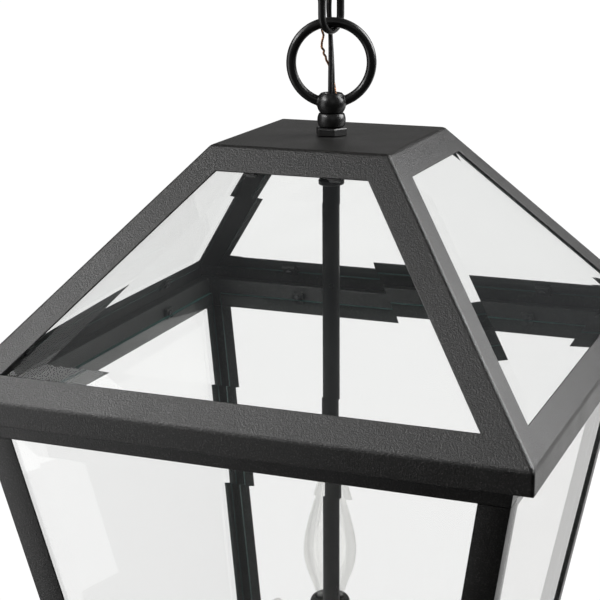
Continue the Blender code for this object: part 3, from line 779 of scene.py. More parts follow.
def body_panes():
    """Panes behind the body's windows, overlapped by the bands and posts all round."""
    lean = hypot(1, TAPER)
    top, bottom = BAND_BOTTOM + 0.010, BOTTOM_BAND_TOP - 0.008
    for side, turn in SIDES:
        leg = (FRONT_LEG if side in ("front", "back") else SIDE_LEG) - 0.006

        def corners_at(rim, depth, leg=leg):
            corners = []
            for z, ends in ((bottom + rim / lean, (-1, 1)), (top - rim / lean, (1, -1))):
                inward = (BODY_SHEET + GAP + depth) * lean
                half = body_half(z) - leg - rim
                corners += [Vector((end * half, -body_half(z) + inward, z)) for end in ends]
            return corners

        pane(f"body_pane_{side}", corners_at, turn, BODY_GLASS_EDGE, BODY_PANE, f"body_glass_{side}")


def body_frame():
    """The top band with its lip, the bottom band with its flange, and four folded corner posts."""
    lip = BAND_TOP - BODY_SHEET
    sheet, flange = BODY_SHEET, 0.010
    profile = [(body_half(BAND_BOTTOM), BAND_BOTTOM), (body_half(lip), lip), (LIP_HALF, lip),
               (LIP_HALF, BAND_TOP), (body_half(BAND_TOP) - sheet, BAND_TOP),
               (body_half(BAND_BOTTOM) - sheet, BAND_BOTTOM)]
    bands = [("body_top_band", profile, "body_top_frame")]
    top, low = BOTTOM_BAND_TOP, BODY_BOTTOM
    profile = [(body_half(low), low), (body_half(top), top), (body_half(top) - sheet, top),
               (body_half(low + sheet) - sheet, low + sheet), (body_half(low) - flange, low + sheet),
               (body_half(low) - flange, low)]
    bands.append(("body_bottom_band", profile, "bottom_frame"))
    for name, profile, node in bands:
        bevel(add(name, square_ring("band", profile), "lantern", COAT, node, "powder_coat"), 0.0006, 3)
    corners = (("front_left", -1, -1), ("front_right", 1, -1), ("back_right", 1, 1), ("back_left", -1, 1))
    for name, xs, ys in corners:
        rings = []
        for z in (BOTTOM_BAND_TOP, BAND_BOTTOM):
            w, t = body_half(z), sheet
            shape = ((w, w), (w - FRONT_LEG, w), (w - FRONT_LEG, w - t), (w - t, w - t),
                     (w - t, w - SIDE_LEG), (w, w - SIDE_LEG))
            rings.append([(xs * x, ys * y, z) for x, y in rounded(shape, 0.0005, 3)])
        add(f"post_{name}", loft("post", rings, 30), "lantern", COAT, f"corner_post_{name}", "powder_coat")


def screw_head(name, radius, height, slot_width, body, material, place, at, replaces=(), slot=None,
               shank=0.0, shank_r=0.002, slot_turn=0.3):
    """A round slotted head, facing +Z before place turns it, with its shank behind."""
    profile = [(0, height)]
    dome = [radians(a) for a in (20, 40, 60, 78)]
    profile += [(radius * sin(a) * 0.97, height * (0.55 + 0.45 * cos(a))) for a in dome]
    profile += [(radius, height * 0.5), (radius, height * 0.06), (radius * 0.97, 0)]
    if shank:
        profile += [(shank_r, 0), (shank_r, -shank + 0.0004), (shank_r - 0.0004, -shank)]
    profile += [(0, -shank)]
    made = add(name, turned(name, profile, 32), None, material)
    half = radius * 1.2
    w = slot_width / 2
    low = height * 0.45
    box = [(-half, -w), (half, -w), (half, w), (-half, w)]
    tool = loose("slot", loft("slot", [[(x, y, z) for x, y in box] for z in (low, height * 1.4)]))
    tool.rotation_euler = (0, 0, slot_turn)
    bpy.context.view_layer.update()
    cut(made, tool)
    made.data.shade_smooth()
    made.data.set_sharp_from_angle(angle=radians(35))
    made.matrix_world = place
    made.location = at
    claim(made, body, replaces, slot)


def clip(name, at, facing, along, size=(0.0085, 0.0085, 0.0022)):
    """A small pressed clip with a round-headed screw, lying on a wall that faces the inside."""
    z = Vector(facing).normalized()
    x = (Vector(along) - z * Vector(along).dot(z)).normalized()
    y = z.cross(x)
    place = Matrix((x, y, z)).transposed().to_4x4()
    w, h, t = size
    outline = rounded([(-w / 2, -h / 2), (w / 2, -h / 2), (w / 2, h / 2), (-w / 2, h / 2)], 0.0011, 4)
    rings = [[(a, b, c) for a, b in outline] for c in (0.0, t)]
    made = add(name, loft(name, rings), None, COAT)
    made.matrix_world = place
    made.location = at
    claim(made, "lantern", slot="powder_coat")
    bevel(made, 0.0004, 2)
    screw_head(name + "_screw", 0.0027, 0.0016, 0.0007, "lantern", SCREW, place, Vector(at) + z * t,
               slot="satin_black", slot_turn=at[0] * 40 + at[1] * 25)


def clips():
    """Clips that hold the panes: on the body's top band, above the eave and under the roof's top bar."""
    band = EAVE - 0.0150
    for side, turn in SIDES:
        m = Matrix.Rotation(turn, 3, "Z")
        out = m @ Vector((0, 1, 0))
        along = m @ Vector((1, 0, 0))
        wall = -(body_half(band) - BODY_SHEET)
        lean = (out + Vector((0, 0, -TAPER))).normalized()
        for number, x in enumerate((-0.0815, 0.0815), 1):
            clip(f"band_clip_{side}_{number}", m @ Vector((x, wall, band)), lean, along)
        slope_in = m @ Vector((0, sin(ROOF_SLOPE), -cos(ROOF_SLOPE)))
        for number, x in enumerate((-0.0900, 0.0900), 1):
            spot = on_roof(x, 0.0085, SHEET + 0.0001)
            clip(f"eave_clip_{side}_{number}", m @ spot, slope_in, along, (0.0100, 0.0090, CLIP_STEP))
        if side in ("left", "right"):
            continue
        for number, x in enumerate((-0.0250, 0.0250), 1):
            spot = on_roof(x, ROOF_LENGTH - TOP_BAR + 0.0050, SHEET + 0.0001)
            clip(f"top_clip_{side}_{number}", m @ spot, slope_in, along, (0.0075, 0.0110, CLIP_STEP))


# ---------------------------------------------------------------- loops, chain and plate hardware


def eye_and_ball(name, body, ring_r, wire_r, ring_centre, ball_profile, bore, turn, replaces):
    """A ring cast in one with a hollow ball, with soft fillets where they meet."""
    route = [Vector((x, 0, ring_centre + z)) for x, z in circle(ring_r, 120)]
    ring = sweep(name, route, lambda i: circle(wire_r, 24), closed=True, across=lambda i: (0, 1, 0))
    made = loose(name, ring)
    cut(made, loose("ball", turned("ball", ball_profile, 72)), "UNION")
    mesh = made.modifiers.new("even", "REMESH")
    mesh.mode = "VOXEL"
    mesh.voxel_size = 0.00042
    soft = made.modifiers.new("soft", "SMOOTH")
    soft.factor = 0.5
    soft.iterations = 5
    baked(made)
    cut(made, loose("bore", turned("bore", bore, 48)))
    made.data.shade_smooth()
    made.data.set_sharp_from_angle(angle=radians(50))
    made.data.materials.clear()
    made.data.materials.append(SATIN)
    made.rotation_euler = (0, 0, turn)
    claim(made, body, replaces, "satin_black")


def arc_profile(centre, radius, low, high, steps=20):
    """The side of a ball between two heights."""
    first, last = ((h - centre) / radius for h in (low, high))
    made = []
    for k in range(steps + 1):
        share = first + (last - first) * k / steps
        made.append((radius * sqrt(max(0.0, 1 - share ** 2)), centre + radius * share))
    return made


def loops():
    """The lantern's ring on its ball, and the smaller one under the canopy with its threaded neck."""
    centre = PLATE + BALL_CENTRE
    low, high = PLATE + 0.0134, centre + 0.0061
    mouth = BALL_BORE + 0.0014
    ball = [(0, low), *arc_profile(centre, BALL_R, low, high), (0, high)]
    bore = [(0, low - 0.003), (0.0062, low - 0.003), (0.0062, low + 0.0022), (BALL_BORE, low + 0.0030),
            (BALL_BORE, high - 0.0007), (mouth, high + 0.0007), (mouth, high + 0.004), (0, high + 0.004)]
    eye_and_ball("hanging_loop", "lantern", LOOP_RING_R, LOOP_WIRE_R, PLATE + LOOP_CENTRE, ball, bore,
                 LOOP_TURN, "lantern_loop")
    bottom, top = heights("canopy_loop")
    wire, ring_r, neck = 0.0025, 0.0185, 0.0068
    ring_centre = bottom + ring_r + wire
    centre = ring_centre + ring_r + wire - 0.0010
    low, high = centre - 0.0061, centre + 0.0052
    ball = [(0, low), *arc_profile(centre, BALL_R, low, high), (neck, high + 0.0008), (neck, high + 0.0024),
            (0, high + 0.0024)]
    mouth = BALL_BORE + 0.0010
    bore = [(0, low - 0.004), (mouth, low - 0.004), (mouth, low - 0.0002), (BALL_BORE, low + 0.0008),
            (BALL_BORE, high + 0.02), (0, high + 0.02)]
    eye_and_ball("ceiling_loop", "ceiling", ring_r, wire, ring_centre, ball, bore, LINK_TURN + pi / 2,
                 "canopy_loop")
    profile = [(BALL_BORE, high + 0.0020), (neck, high + 0.0020),
               *thread(neck, 0.00035, 0.0010, high + 0.0030, top - 0.0012), (neck - 0.0006, top),
               (BALL_BORE, top)]
    add("ceiling_loop_neck", turned("neck", profile, 64), "ceiling", SATIN, "canopy_loop", "satin_black")


def chain_links():
    """Drawn wire links with a faint butt weld on one side."""
    turn_radius = LINK_WIDTH / 2 - LINK_WIRE_R
    straight = LINK_LENGTH / 2 - LINK_WIRE_R - turn_radius
    for number in (1, 2, 3):
        middle = sum(heights(f"chain_link_{number}")) / 2
        turn = LINK_TURN + (0 if number != 2 else pi / 2)
        route, bulge = [], []
        for side in (1, -1):
            for k in range(25):
                angle = pi * k / 24 + (0 if side > 0 else pi)
                height = side * straight + turn_radius * sin(angle)
                route.append(Vector((turn_radius * cos(angle), 0, height)))
                bulge.append(-0.00032 * sin(pi * k / 24) ** 2)
            if side > 0:
                for k in range(1, 24):
                    z = straight - 2 * straight * k / 24
                    route.append(Vector((-turn_radius, 0, z)))
                    bulge.append(0.00016 * exp(-(z / 0.0007) ** 2))
            else:
                for k in range(1, 12):
                    route.append(Vector((turn_radius, 0, -straight + 2 * straight * k / 12)))
                    bulge.append(0.0)
        data = sweep("link", route, lambda i: circle(LINK_WIRE_R + bulge[i], 20), True, lambda i: (0, 1, 0))
        add(f"link_{number}", data, f"link_{number}", SATIN, f"chain_link_{number}", "satin_black",
            (0, 0, middle), turn)


def lantern_turned(name, profile, node, at=(0, 0, 0), segments=64, angle=40.0):
    """A satin black turned piece of the lantern."""
    add(name, turned(node, profile, segments, angle), "lantern", SATIN, node, "satin_black", at)


def plate_hardware():
    """The neck on the top plate and its nut, and the coupling, flange, stem and lead below it."""
    low, _ = heights("neck_ball")
    foot, crown, ball_r = PLATE + 0.0048 + GAP, PLATE + 0.0131, 0.0083
    bore, shank_r = 0.0033, 0.0048
    ball = arc_profile((PLATE + 0.0048 + crown) / 2, ball_r, foot, crown)
    first, last = ball[0][0], ball[-1][0]
    side = thread(shank_r, 0.0003, PIPE_PITCH, low + 0.0006, foot - 0.0012)
    profile = [(bore, low), (shank_r - 0.0004, low), *side, (shank_r - 0.0003, foot), (first - 0.0004, foot), (first, foot + 0.0003), *ball[1:-1],
               (last - 0.0004, crown), (bore, crown)]
    lantern_turned("neck_ball_turned", profile, "neck_ball", segments=72)
    hex_nut("plate_nut_faceted", "plate_nut", "lantern", SATIN, "satin_black", 0.0165, shank_r + GAP,
            (0.0002, 0.0003), (0.0007, 0.0007), (0.0005, 3))
    low, high = heights("stem_coupling")
    stem_bore, outer = 0.0040, 0.0071
    profile = [(PIPE_BORE, low), (outer, low), (outer, high), (PIPE_BORE, high), (PIPE_BORE, PLATE - 0.0135),
               (stem_bore, PLATE - 0.0135), (stem_bore, PLATE - 0.0150), (PIPE_BORE, PLATE - 0.0150)]
    lantern_turned("stem_coupling_turned", rounded(profile, 0.0005), "stem_coupling")
    low, high = heights("stem_flange")
    profile = [(PIPE_BORE, low), (0.0076, low), (0.0076, high), (PIPE_BORE, high)]
    lantern_turned("stem_flange_ring", rounded(profile, 0.0008, 5), "stem_flange")
    low, high = heights("stem")
    profile = [(stem_bore, low), (0.00515, low), (0.00515, high), (stem_bore, high)]
    lantern_turned("stem_tube", rounded(profile, 0.0003), "stem", segments=48)
    low, high = heights("stem_cord")
    lead = [(0, low), (0.0020, low), (0.0022, low + 0.0002), (0.0022, high - 0.0002), (0.0020, high),
            (0, high)]
    add("stem_lead", turned("lead", lead, 24), "lantern", JACKET, "stem_cord", "cord_jacket")


# ---------------------------------------------------------------- canopy


def canopy_set():
    """The spun canopy with its collar, nipple, nut, strap and screws."""
    bottom = heights("canopy")[0]
    neck, rim, depth, wall = 0.0075, 0.0650, 0.0240, 0.0012
    outer_line = [(neck, 0), (0.020, 0), (0.030, 0.0002), (0.039, 0.0010), (0.046, 0.0030), (0.0515, 0.0058),
                  (0.055, 0.0090), (0.0573, 0.0128), (0.0585, 0.0165), (0.0590, 0.0190), (0.0605, 0.0197),
                  (0.0640, 0.0201), (0.0648, 0.0207), (rim, 0.0216), (rim, depth)]
    outer = smooth_outline(outer_line, 0.0006)
    inner = [p for p in thinned(outer, wall) if p[1] <= depth and p[0] >= neck]
    inner = [(neck, wall), *inner[1:-1], (rim - wall, depth)]
    profile = [(r, bottom + z) for r, z in outer + inner[::-1]]
    add("canopy_dish", turned("canopy", profile, 128, 35), "ceiling", COAT, "canopy", "powder_coat")
    low, high = heights("canopy_collar")
    flutes, segments = 48, 192
    profile = rounded([(0.0071, low), (0.0116, low), (0.0130, low + 0.0015), (0.0130, high - 0.0012),
                       (0.0122, high), (0.0071, high)], 0.0003, 3)
    data = turned("collar", profile, segments, 30)
    for v in data.vertices:
        r = hypot(v.co.x, v.co.y)
        if r > 0.0127:
            angle = atan2(v.co.y, v.co.x)
            grip = 0.00030 * (0.5 + 0.5 * cos(flutes * angle))
            v.co.x *= (r - grip) / r
            v.co.y *= (r - grip) / r
    add("collar_knurled", data, "ceiling", SATIN, "canopy_collar", "satin_black")
    low, high = heights("canopy_nipple")
    profile = [(0.0036, low), (0.0045, low), *thread(0.0049, 0.0003, PIPE_PITCH, low + 0.0006, high - 0.0008),
               (0.0045, high), (0.0036, high)]
    add("nipple_threaded", turned("nipple", profile, 48), "ceiling", ZINC, "canopy_nipple", "zinc_steel")
    hex_nut("nipple_nut_faceted", "nipple_nut", "ceiling", ZINC, "zinc_steel", 0.0150, 0.0052,
            (0.0005, 0.0005), (0.0005, 0.0005), (0.0003, 2))
    strap = frame["nodes"]["mounting_strap"]
    strap.data.materials.clear()
    strap.data.materials.append(ZINC)
    bevel(strap, 0.0005, 2, 40, weighted=False)
    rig.slot(strap, "zinc_steel")
    down = Matrix(((1, 0, 0), (0, -1, 0), (0, 0, -1))).to_4x4()
    for node, material, slot in (("strap_screw_1", ZINC, "zinc_steel"), ("strap_screw_2", ZINC, "zinc_steel"),
                                 ("ground_screw", GREEN, "green_screw")):
        low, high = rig.box(node)
        seat = low.z + 0.0022
        screw_head(node + "_slotted", 0.0040, 0.0022, 0.0010, "ceiling", material, down,
                   ((low.x + high.x) / 2, 0, seat), node, slot, high.z - seat)


# ---------------------------------------------------------------- candle cluster


def candle_cluster():
    """The hub on the stem's end, the finial cap under it and three candles."""
    low, top = heights("cluster_body")
    hub = 0.0130
    shell = [(PIPE_BORE, top), (0.0078, top), (0.0098, top - 0.0009), (0.0108, top - 0.0028),
             (hub - 0.0004, top - 0.0040), (hub, top - 0.0052), (hub, top - 0.0135),
             (hub - 0.0005, top - 0.0142), (hub, top - 0.0150), (hub, low), (0.0110, low),
             (0.0110, top - 0.0050), (PIPE_BORE, top - 0.0020)]
    lantern_turned("cluster_hub", rounded(shell, 0.0004, 3), "cluster_body", segments=72)
    cap = heights("cluster_finial")[1]
    knob = [(0, -0.0170), (0.0018, -0.0168), (0.0036, -0.0155), (0.0047, -0.0134), (0.0046, -0.0118),
            (0.0036, -0.0101), (0.0031, -0.0092), (0.0042, -0.0085), (0.0060, -0.0074), (0.0092, -0.0056),
            (0.0118, -0.0036), (0.0129, -0.0018), (hub, 0), (0, 0)]
    lantern_turned("cluster_finial_turned", [(r, cap + z) for r, z in knob], "cluster_finial", angle=50)
    for number, spot in enumerate(CANDLES, 1):
        at, turn = (spot.x, spot.y, 0), atan2(spot.y, spot.x)
        candle_arm(number, spot.length, turn)
        cup_and_sleeve(number, at)
        socket(number, at)
        bulb_base(number, at)
        bulb(number, at, turn)


def candle_arm(number, ring, turn):
    """A round arm out from the hub and up into its cup."""
    root, wire_r = 0.0115, 0.0035
    end, level = heights(f"cup_{number}")[0] - GAP, heights(f"arm_{number}")[0] + wire_r
    rise = end - level
    route = [Vector((root + (ring - rise - root) * k / 6, 0, level)) for k in range(6)]
    bend = [pi / 2 * k / 20 for k in range(21)]
    route += [Vector((ring - rise + rise * sin(b), 0, level + rise * (1 - cos(b)))) for b in bend]
    arm = sweep("arm", route, lambda i: circle(wire_r, 24), across=lambda i: (0, 1, 0))
    add(f"candle_arm_{number}", arm, "lantern", SATIN, f"arm_{number}", "satin_black", turn=turn)


def cup_and_sleeve(number, at):
    """A dished cup and the round-shouldered candle sleeve that stands in it."""
    low = heights(f"cup_{number}")[1]
    cup = [(0.0026, -0.0062), (0.0066, -0.0062), (0.0075, -0.0058), (0.0100, -0.0047), (0.0128, -0.0036),
           (0.0148, -0.0022), (0.0158, -0.0008), (0.0160, -0.0003), (0.0157, 0), (0.0152, -0.0004),
           (0.0138, -0.0013), (0.0129, -0.0008), (0.0126, -GAP), (0.0026, -GAP)]
    lantern_turned(f"candle_cup_{number}", [(r, low + z) for r, z in cup], f"cup_{number}", at, angle=50)
    top = heights(f"candle_sleeve_{number}")[1]
    shoulder, outer, wall, mouth = 0.0048, 0.0130, 0.0011, 0.0095
    bend = [pi / 2 * k / 12 for k in range(13)]
    crown = [(outer - shoulder * 0.7 * (1 - cos(b)), top - shoulder + shoulder * sin(b)) for b in bend]
    sleeve = [(outer - wall, low + 0.0001), (outer - 0.0002, low + 0.0001), (outer, low + 0.0003), *crown,
              (mouth + 0.0002, top - 0.0004), (mouth, top - 0.0012),
              (outer - wall - 0.0006, top - shoulder + 0.0012), (outer - wall, top - shoulder)]
    lantern_turned(f"candle_{number}", sleeve, f"candle_sleeve_{number}", at, angle=50)


def socket(number, at):
    """A moulded socket, open at the top for the bulb's base."""
    low, high = heights(f"socket_{number}")
    outer, bore, wire_hole, floor = 0.0112, 0.0062, 0.0015, heights(f"bulb_base_{number}")[0] - 0.0018
    shell = [(wire_hole, low), (outer, low), (outer, high), (bore, high), (bore, floor), (wire_hole, floor)]
    add(f"socket_{number}_moulded", turned("socket", rounded(shell, 0.0005, 3), 48), "lantern", PHENOLIC,
        f"socket_{number}", "phenolic", at)


def bulb_base(number, at):
    """The bulb's rolled screw cap, whose thread fades at both ends, and the solder tip under it."""
    low, high = heights(f"bulb_base_{number}")
    radius, foot_r, start, steps, sides = 0.0058, 0.0042, 0.0012, 90, 48
    rings = [[(x, y, low) for x, y in circle(foot_r, sides)]]
    for i in range(steps + 1):
        z = low + start + (high - low - start) * i / steps
        fade = min(1.0, i / 8, (steps - i) / 14)
        ring = []
        for k in range(sides):
            a = 2 * pi * k / sides
            r = radius - 0.00022 + 0.00028 * fade * sin(2 * pi * z / CANDELABRA_PITCH - a)
            ring.append((r * cos(a), r * sin(a), z))
        rings.append(ring)
    add(f"bulb_cap_{number}", loft("cap", rings, 50), f"bulb_{number}", BRASS, f"bulb_base_{number}", "brass",
        at)
    low, high = heights(f"bulb_contact_{number}")
    blob = [(0, low), (0.0010, low + 0.0001), (0.0018, low + 0.0004), (0.0023, low + 0.0009), (0.0024, high),
            (0, high)]
    add(f"bulb_tip_{number}", turned("tip", blob, 32, 50), f"bulb_{number}_thread", SOLDER,
        f"bulb_contact_{number}", "brass", at)


def bulb(number, at, turn):
    """The torpedo envelope with its wall, the pressed glass stem in it and the filament."""
    seat, wall = heights(f"bulb_glass_{number}")[0] + 0.0047, 0.0006
    line = [(0.0058, -0.0047), (0.0062, -0.0038), (0.0070, -0.0024), (0.0085, 0.0), (0.0112, 0.0085),
            (0.0139, 0.0157), (0.0157, 0.0213), (0.0171, 0.0300), (0.01665, 0.0400), (0.0147, 0.0500),
            (0.0121, 0.0600), (0.0091, 0.0700), (0.0062, 0.0775), (0.0036, 0.0824), (0.0016, 0.0844),
            (0.0, 0.08495)]
    outer = [(max(r, 0.0), h) for r, h in smooth_outline(line, 0.0012)]
    inner = [p for p in thinned(outer, wall)[:-1] if p[0] > 0.0002] + [(0.0, outer[-1][1] - wall)]
    profile = [(r, seat + h) for r, h in inner[::-1] + outer]
    body, slot = f"bulb_{number}", "bulb_glass"
    add(f"bulb_envelope_{number}", turned("bulb", profile, 96, 60), body, BULB, f"bulb_glass_{number}", slot, at)
    press = [(0, 0.0230), (0.0010, 0.0228), (0.0017, 0.0215), (0.0019, 0.0150), (0.0022, 0.0080),
             (0.0034, 0.0010), (0.0048, -0.0030), (0.0050, -0.0044), (0, -0.0044)]
    press = [(r, seat + h) for r, h in press]
    add(f"bulb_stem_{number}", turned("press", press, 40, 60), body, BULB, (), slot, at)
    filament(number, at, seat, turn + 0.5)


def filament(number, at, seat, turn):
    """Two lead wires, two supports and a coiled filament between them."""
    m = Matrix.Rotation(turn, 3, "Z")
    wires = []
    for side in (-1, 1):
        wires.append(([(side * 0.0012, 0, 0.0200), (side * 0.0020, 0, 0.0250), (side * 0.0048, 0, 0.0330),
                       (side * 0.0062, 0, 0.0400)], 0.00022))
        wires.append(([(side * 0.0004, 0, 0.0225), (side * 0.0010, 0.0006, 0.0330),
                       (side * 0.0022, 0.0010, 0.0475), (side * 0.0026, 0.0008, 0.0500)], 0.00014))
    bow = smooth_route([(-0.0062, 0, 0.0400), (-0.0048, 0.0005, 0.0455), (-0.0026, 0.0008, 0.0500),
                        (0.0, 0.0009, 0.0490), (0.0026, 0.0008, 0.0500), (0.0048, 0.0005, 0.0455),
                        (0.0062, 0, 0.0400)], 0.00011)
    coil = []
    for i, p in enumerate(bow):
        angle = 2 * pi * i / 6
        coil.append(p + Vector((0, cos(angle), sin(angle))) * 0.00028)
    data = []
    for points, radius in wires:
        route = smooth_route(points, 0.0012)
        data.append(sweep("wire", route, lambda i, radius=radius: circle(radius, 10)))
    data.append(sweep("coil", coil, lambda i: circle(0.00008, 5)))
    bm = bmesh.new()
    for d in data:
        bm.from_mesh(d)
        bpy.data.meshes.remove(d)
    bmesh.ops.transform(bm, matrix=Matrix.Translation((0, 0, seat)) @ m.to_4x4(), verts=bm.verts)
    mesh = bpy.data.meshes.new("filament")
    bm.to_mesh(mesh)
    bm.free()
    mesh.shade_smooth()
    add(f"filament_{number}", mesh, f"bulb_{number}", TUNGSTEN, (), "zinc_steel", at)


# ---------------------------------------------------------------- cords


def chain_point(along, aside, height):
    """A point by its offset along the lowest link's plane, its offset square to it and its height."""
    c, s = cos(LINK_TURN), sin(LINK_TURN)
    return Vector((along * c - aside * s, along * s + aside * c, PLATE + height))


CORD_STOPS = (
    (0.0000, 0.0000, 0.0203), (0.0000, 0.0000, 0.0260), (0.0014, 0.0010, 0.0350), (0.0036, 0.0028, 0.0480),
    (0.0047, 0.0042, 0.0600), (0.0036, 0.0043, 0.0720), (0.0040, 0.0042, 0.0830), (0.0043, 0.0043, 0.0930),
    (0.0028, 0.0044, 0.1030), (0.0000, 0.0044, 0.1105), (-0.0028, 0.0044, 0.1180), (-0.0043, 0.0043, 0.1280),
    (-0.0048, 0.0043, 0.1400), (-0.0050, 0.0043, 0.1560), (-0.0046, 0.0038, 0.1640), (-0.0022, 0.0018, 0.1760),
    (-0.0002, 0.0002, 0.1870), (0.0000, 0.0000, 0.1940), (0.0000, 0.0000, 0.2030),
)
WIRE_STOPS = (
    (0.0025, -0.0012, 0.0225), (0.0031, -0.0002, 0.0270), (0.0037, 0.0016, 0.0330), (0.0040, 0.0028, 0.0360),
    (0.0037, 0.0041, 0.0395), (0.0022, 0.0053, 0.0432), (0.0016, 0.0052, 0.0450), (0.0006, 0.0060, 0.0468),
    (0.0004, 0.0055, 0.0486), (-0.0008, 0.0062, 0.0503), (-0.0003, 0.0066, 0.0521), (-0.0010, 0.0057, 0.0545),
    (-0.0001, 0.0055, 0.0575), (-0.0007, 0.0062, 0.0605), (-0.0001, 0.0060, 0.0640),
    (-0.0012, 0.0056, 0.0720), (-0.0028, 0.0042, 0.0820), (-0.0034, 0.0036, 0.0930),
    (-0.0034, 0.0014, 0.1030), (-0.0036, -0.0014, 0.1120), (-0.0035, -0.0034, 0.1220), (-0.0034, -0.0037, 0.1320),
    (-0.0040, -0.0042, 0.1450), (-0.0038, -0.0040, 0.1600), (-0.0026, -0.0032, 0.1720), (-0.0013, -0.0028, 0.1830),
    (-0.0008, -0.0028, 0.1920), (-0.0008, -0.0028, 0.2020),
)
# Where the cord's pieces meet, on the straight part of each link, and where each one starts and ends its bend
CUTS = (0.14235, 0.11025, 0.07815)
BENDS = (("ceiling", "link_1", 0.1720, 0.1460), ("link_1", "link_2", 0.1390, 0.1125),
         ("link_2", "link_3", 0.1070, 0.0805), ("link_3", "lantern", 0.0760, 0.0420))
# The flat cord's turn about its own line, by height over the plate
TWIST = ((0.0203, 50), (0.0300, 56), (0.0600, 90), (0.0780, 104), (0.1100, 100), (0.1400, 95), (0.1700, 88),
         (0.2030, 70))


def between(table, value):
    """A smooth value from a table of (place, value)."""
    for (a, x), (b, y) in zip(table, table[1:]):
        if value <= b:
            t = max(0.0, min(1.0, (value - a) / (b - a)))
            return x + (y - x) * (t * t * (3 - 2 * t) * 0.5 + t * 0.5)
    return table[-1][1]


def twin_section(sides=18):
    """Two round conductors side by side with a web between them, 5.2 by 2.6 mm."""
    r, gap = 0.00130, 0.00128
    outline = []
    for centre, start in ((gap, -1), (-gap, 1)):
        for k in range(sides + 1):
            a = (-pi * 0.78 + 2 * pi * 0.78 * k / sides) + (0 if start < 0 else pi)
            outline.append((centre + r * cos(a), r * sin(a)))
    return outline


def split_route(stops, step):
    """The route from the top down, cut where the pieces meet."""
    route = smooth_route([chain_point(*s) for s in stops], step)[::-1]
    parts, part = [], [route[0]]
    cuts = [PLATE + c for c in CUTS]
    for before, here in zip(route, route[1:]):
        if cuts and here.z <= cuts[0] < before.z:
            t = (before.z - cuts[0]) / (before.z - here.z)
            spot = before.lerp(here, t)
            part.append(spot)
            parts.append(part)
            part = [spot]
            cuts.pop(0)
            if (here - spot).length > step * 0.25:
                part.append(here)
        elif (here - part[-1]).length > step * 0.25:
            part.append(here)
    parts.append(part)
    return parts


def length_of(route):
    """The real length of a cord's piece along its route."""
    return sum((b - a).length for a, b in zip(route, route[1:]))


def cords():
    """The flat lamp cord and the bare wire, each in four pieces that bend with the chain."""
    lead, wire = split_route(CORD_STOPS, 0.0012), split_route(WIRE_STOPS, 0.0007)
    right = chain_point(0.6, -0.8, 0) - chain_point(0, 0, 0)
    away = chain_point(0.8, 0.6, 0) - chain_point(0, 0, 0)
    section = twin_section()
    strands = [(0.00058 + 0.00012 * cos(6 * 2 * pi * k / 36), 2 * pi * k / 36) for k in range(36)]
    for number, (upper, lower, start, end) in enumerate(BENDS, 1):
        route = lead[number - 1]

        def across(i, route=route):
            turn = radians(between(TWIST, route[i].z - PLATE))
            return right * cos(turn) + away * sin(turn)

        data = sweep("lead", route, lambda i: section, across=across, angle=75)
        made = add(f"lamp_cord_{number}", data, None, JACKET, "power_cord", "cord_jacket")
        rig.blend(made, upper, lower, (0, 0, PLATE + start), (0, 0, PLATE + end))
        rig.cord(made, exit=route[0], length=length_of(route), diameter=0.0052, far_end="object", stiffness="medium",
                lay="hanging", path=route)
        route = wire[number - 1]

        def twisted(i, route=route):
            turn = 2 * pi * (route[i].z - PLATE) / 0.0075
            return [(r * cos(a + turn), r * sin(a + turn)) for r, a in strands]

        data = sweep("strands", route, twisted, across=lambda i: right, angle=80)
        made = add(f"bare_wire_{number}", data, None, COPPER, "ground_wire", "copper")
        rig.blend(made, upper, lower, (0, 0, PLATE + start), (0, 0, PLATE + end))
        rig.cord(made, exit=route[0], length=length_of(route), diameter=0.0014, far_end="object", stiffness="medium",
                lay="hanging", path=route)


# ---------------------------------------------------------------- studio


# Soft light in the studio's directions: azimuth from the front towards the right, its half width, elevation,
# half height, softness of the edges (degrees) and strength
LIGHTS = (
    (-74, 20, 41, 14, 8, 3.4),
    (-48, 18, 32, 8, 6, 4.4),
    (8, 22, 54, 16, 8, 0.3),
    (190, 28, -38, 28, 6, 1.05),
    (203, 12, 20, 12, 8, 0.35),
    (150, 16, -16, 12, 6, 1.1),
    (32, 18, 20, 12, 6, 0.35),
)
AMBIENT, WHITE = 0.012, 1.03
LIT_MIDDLE = Vector((0, 0, -0.38))
# Softboxes: azimuth, elevation, distance, width, height and brightness
SOFTBOXES = (
    ("left_front", -52, -6, 0.80, 0.46, 1.10, 1.45),
    ("right_back", 122, 36, 0.90, 0.56, 0.60, 9.0),
    ("eave_strip", -46, 38, 1.00, 0.60, 0.14, 8.0),
)


def world_light(t, azimuth, elevation, light):
    """A soft-edged patch of light round one direction."""
    middle, half, level, half_level, soft, strength = light
    shares = []
    for angle, centre, reach in ((azimuth, middle, half), (elevation, level, half_level)):
        off = t.math("WRAP", t.math("SUBTRACT", angle, radians(centre)), pi, -pi)
        edge = {"Value": t.math("ABSOLUTE", off), "From Min": radians(reach + soft),
                "From Max": radians(reach - soft)}
        shares.append(t.add("ShaderNodeMapRange", edge, interpolation_type="SMOOTHSTEP").outputs["Result"])
    return t.math("MULTIPLY", t.math("MULTIPLY", *shares), strength)


def studio_light(t, direction):
    """How bright the studio is in each direction."""
    split = t.add("ShaderNodeSeparateXYZ", {"Vector": direction}).outputs
    azimuth = t.math("ARCTAN2", split["X"], t.math("MULTIPLY", split["Y"], -1.0))
    elevation = t.math("ARCSINE", split["Z"])
    brightest = world_light(t, azimuth, elevation, LIGHTS[0])
    for light in LIGHTS[1:]:
        brightest = t.math("MAXIMUM", brightest, world_light(t, azimuth, elevation, light))
    return t.math("ADD", brightest, AMBIENT)


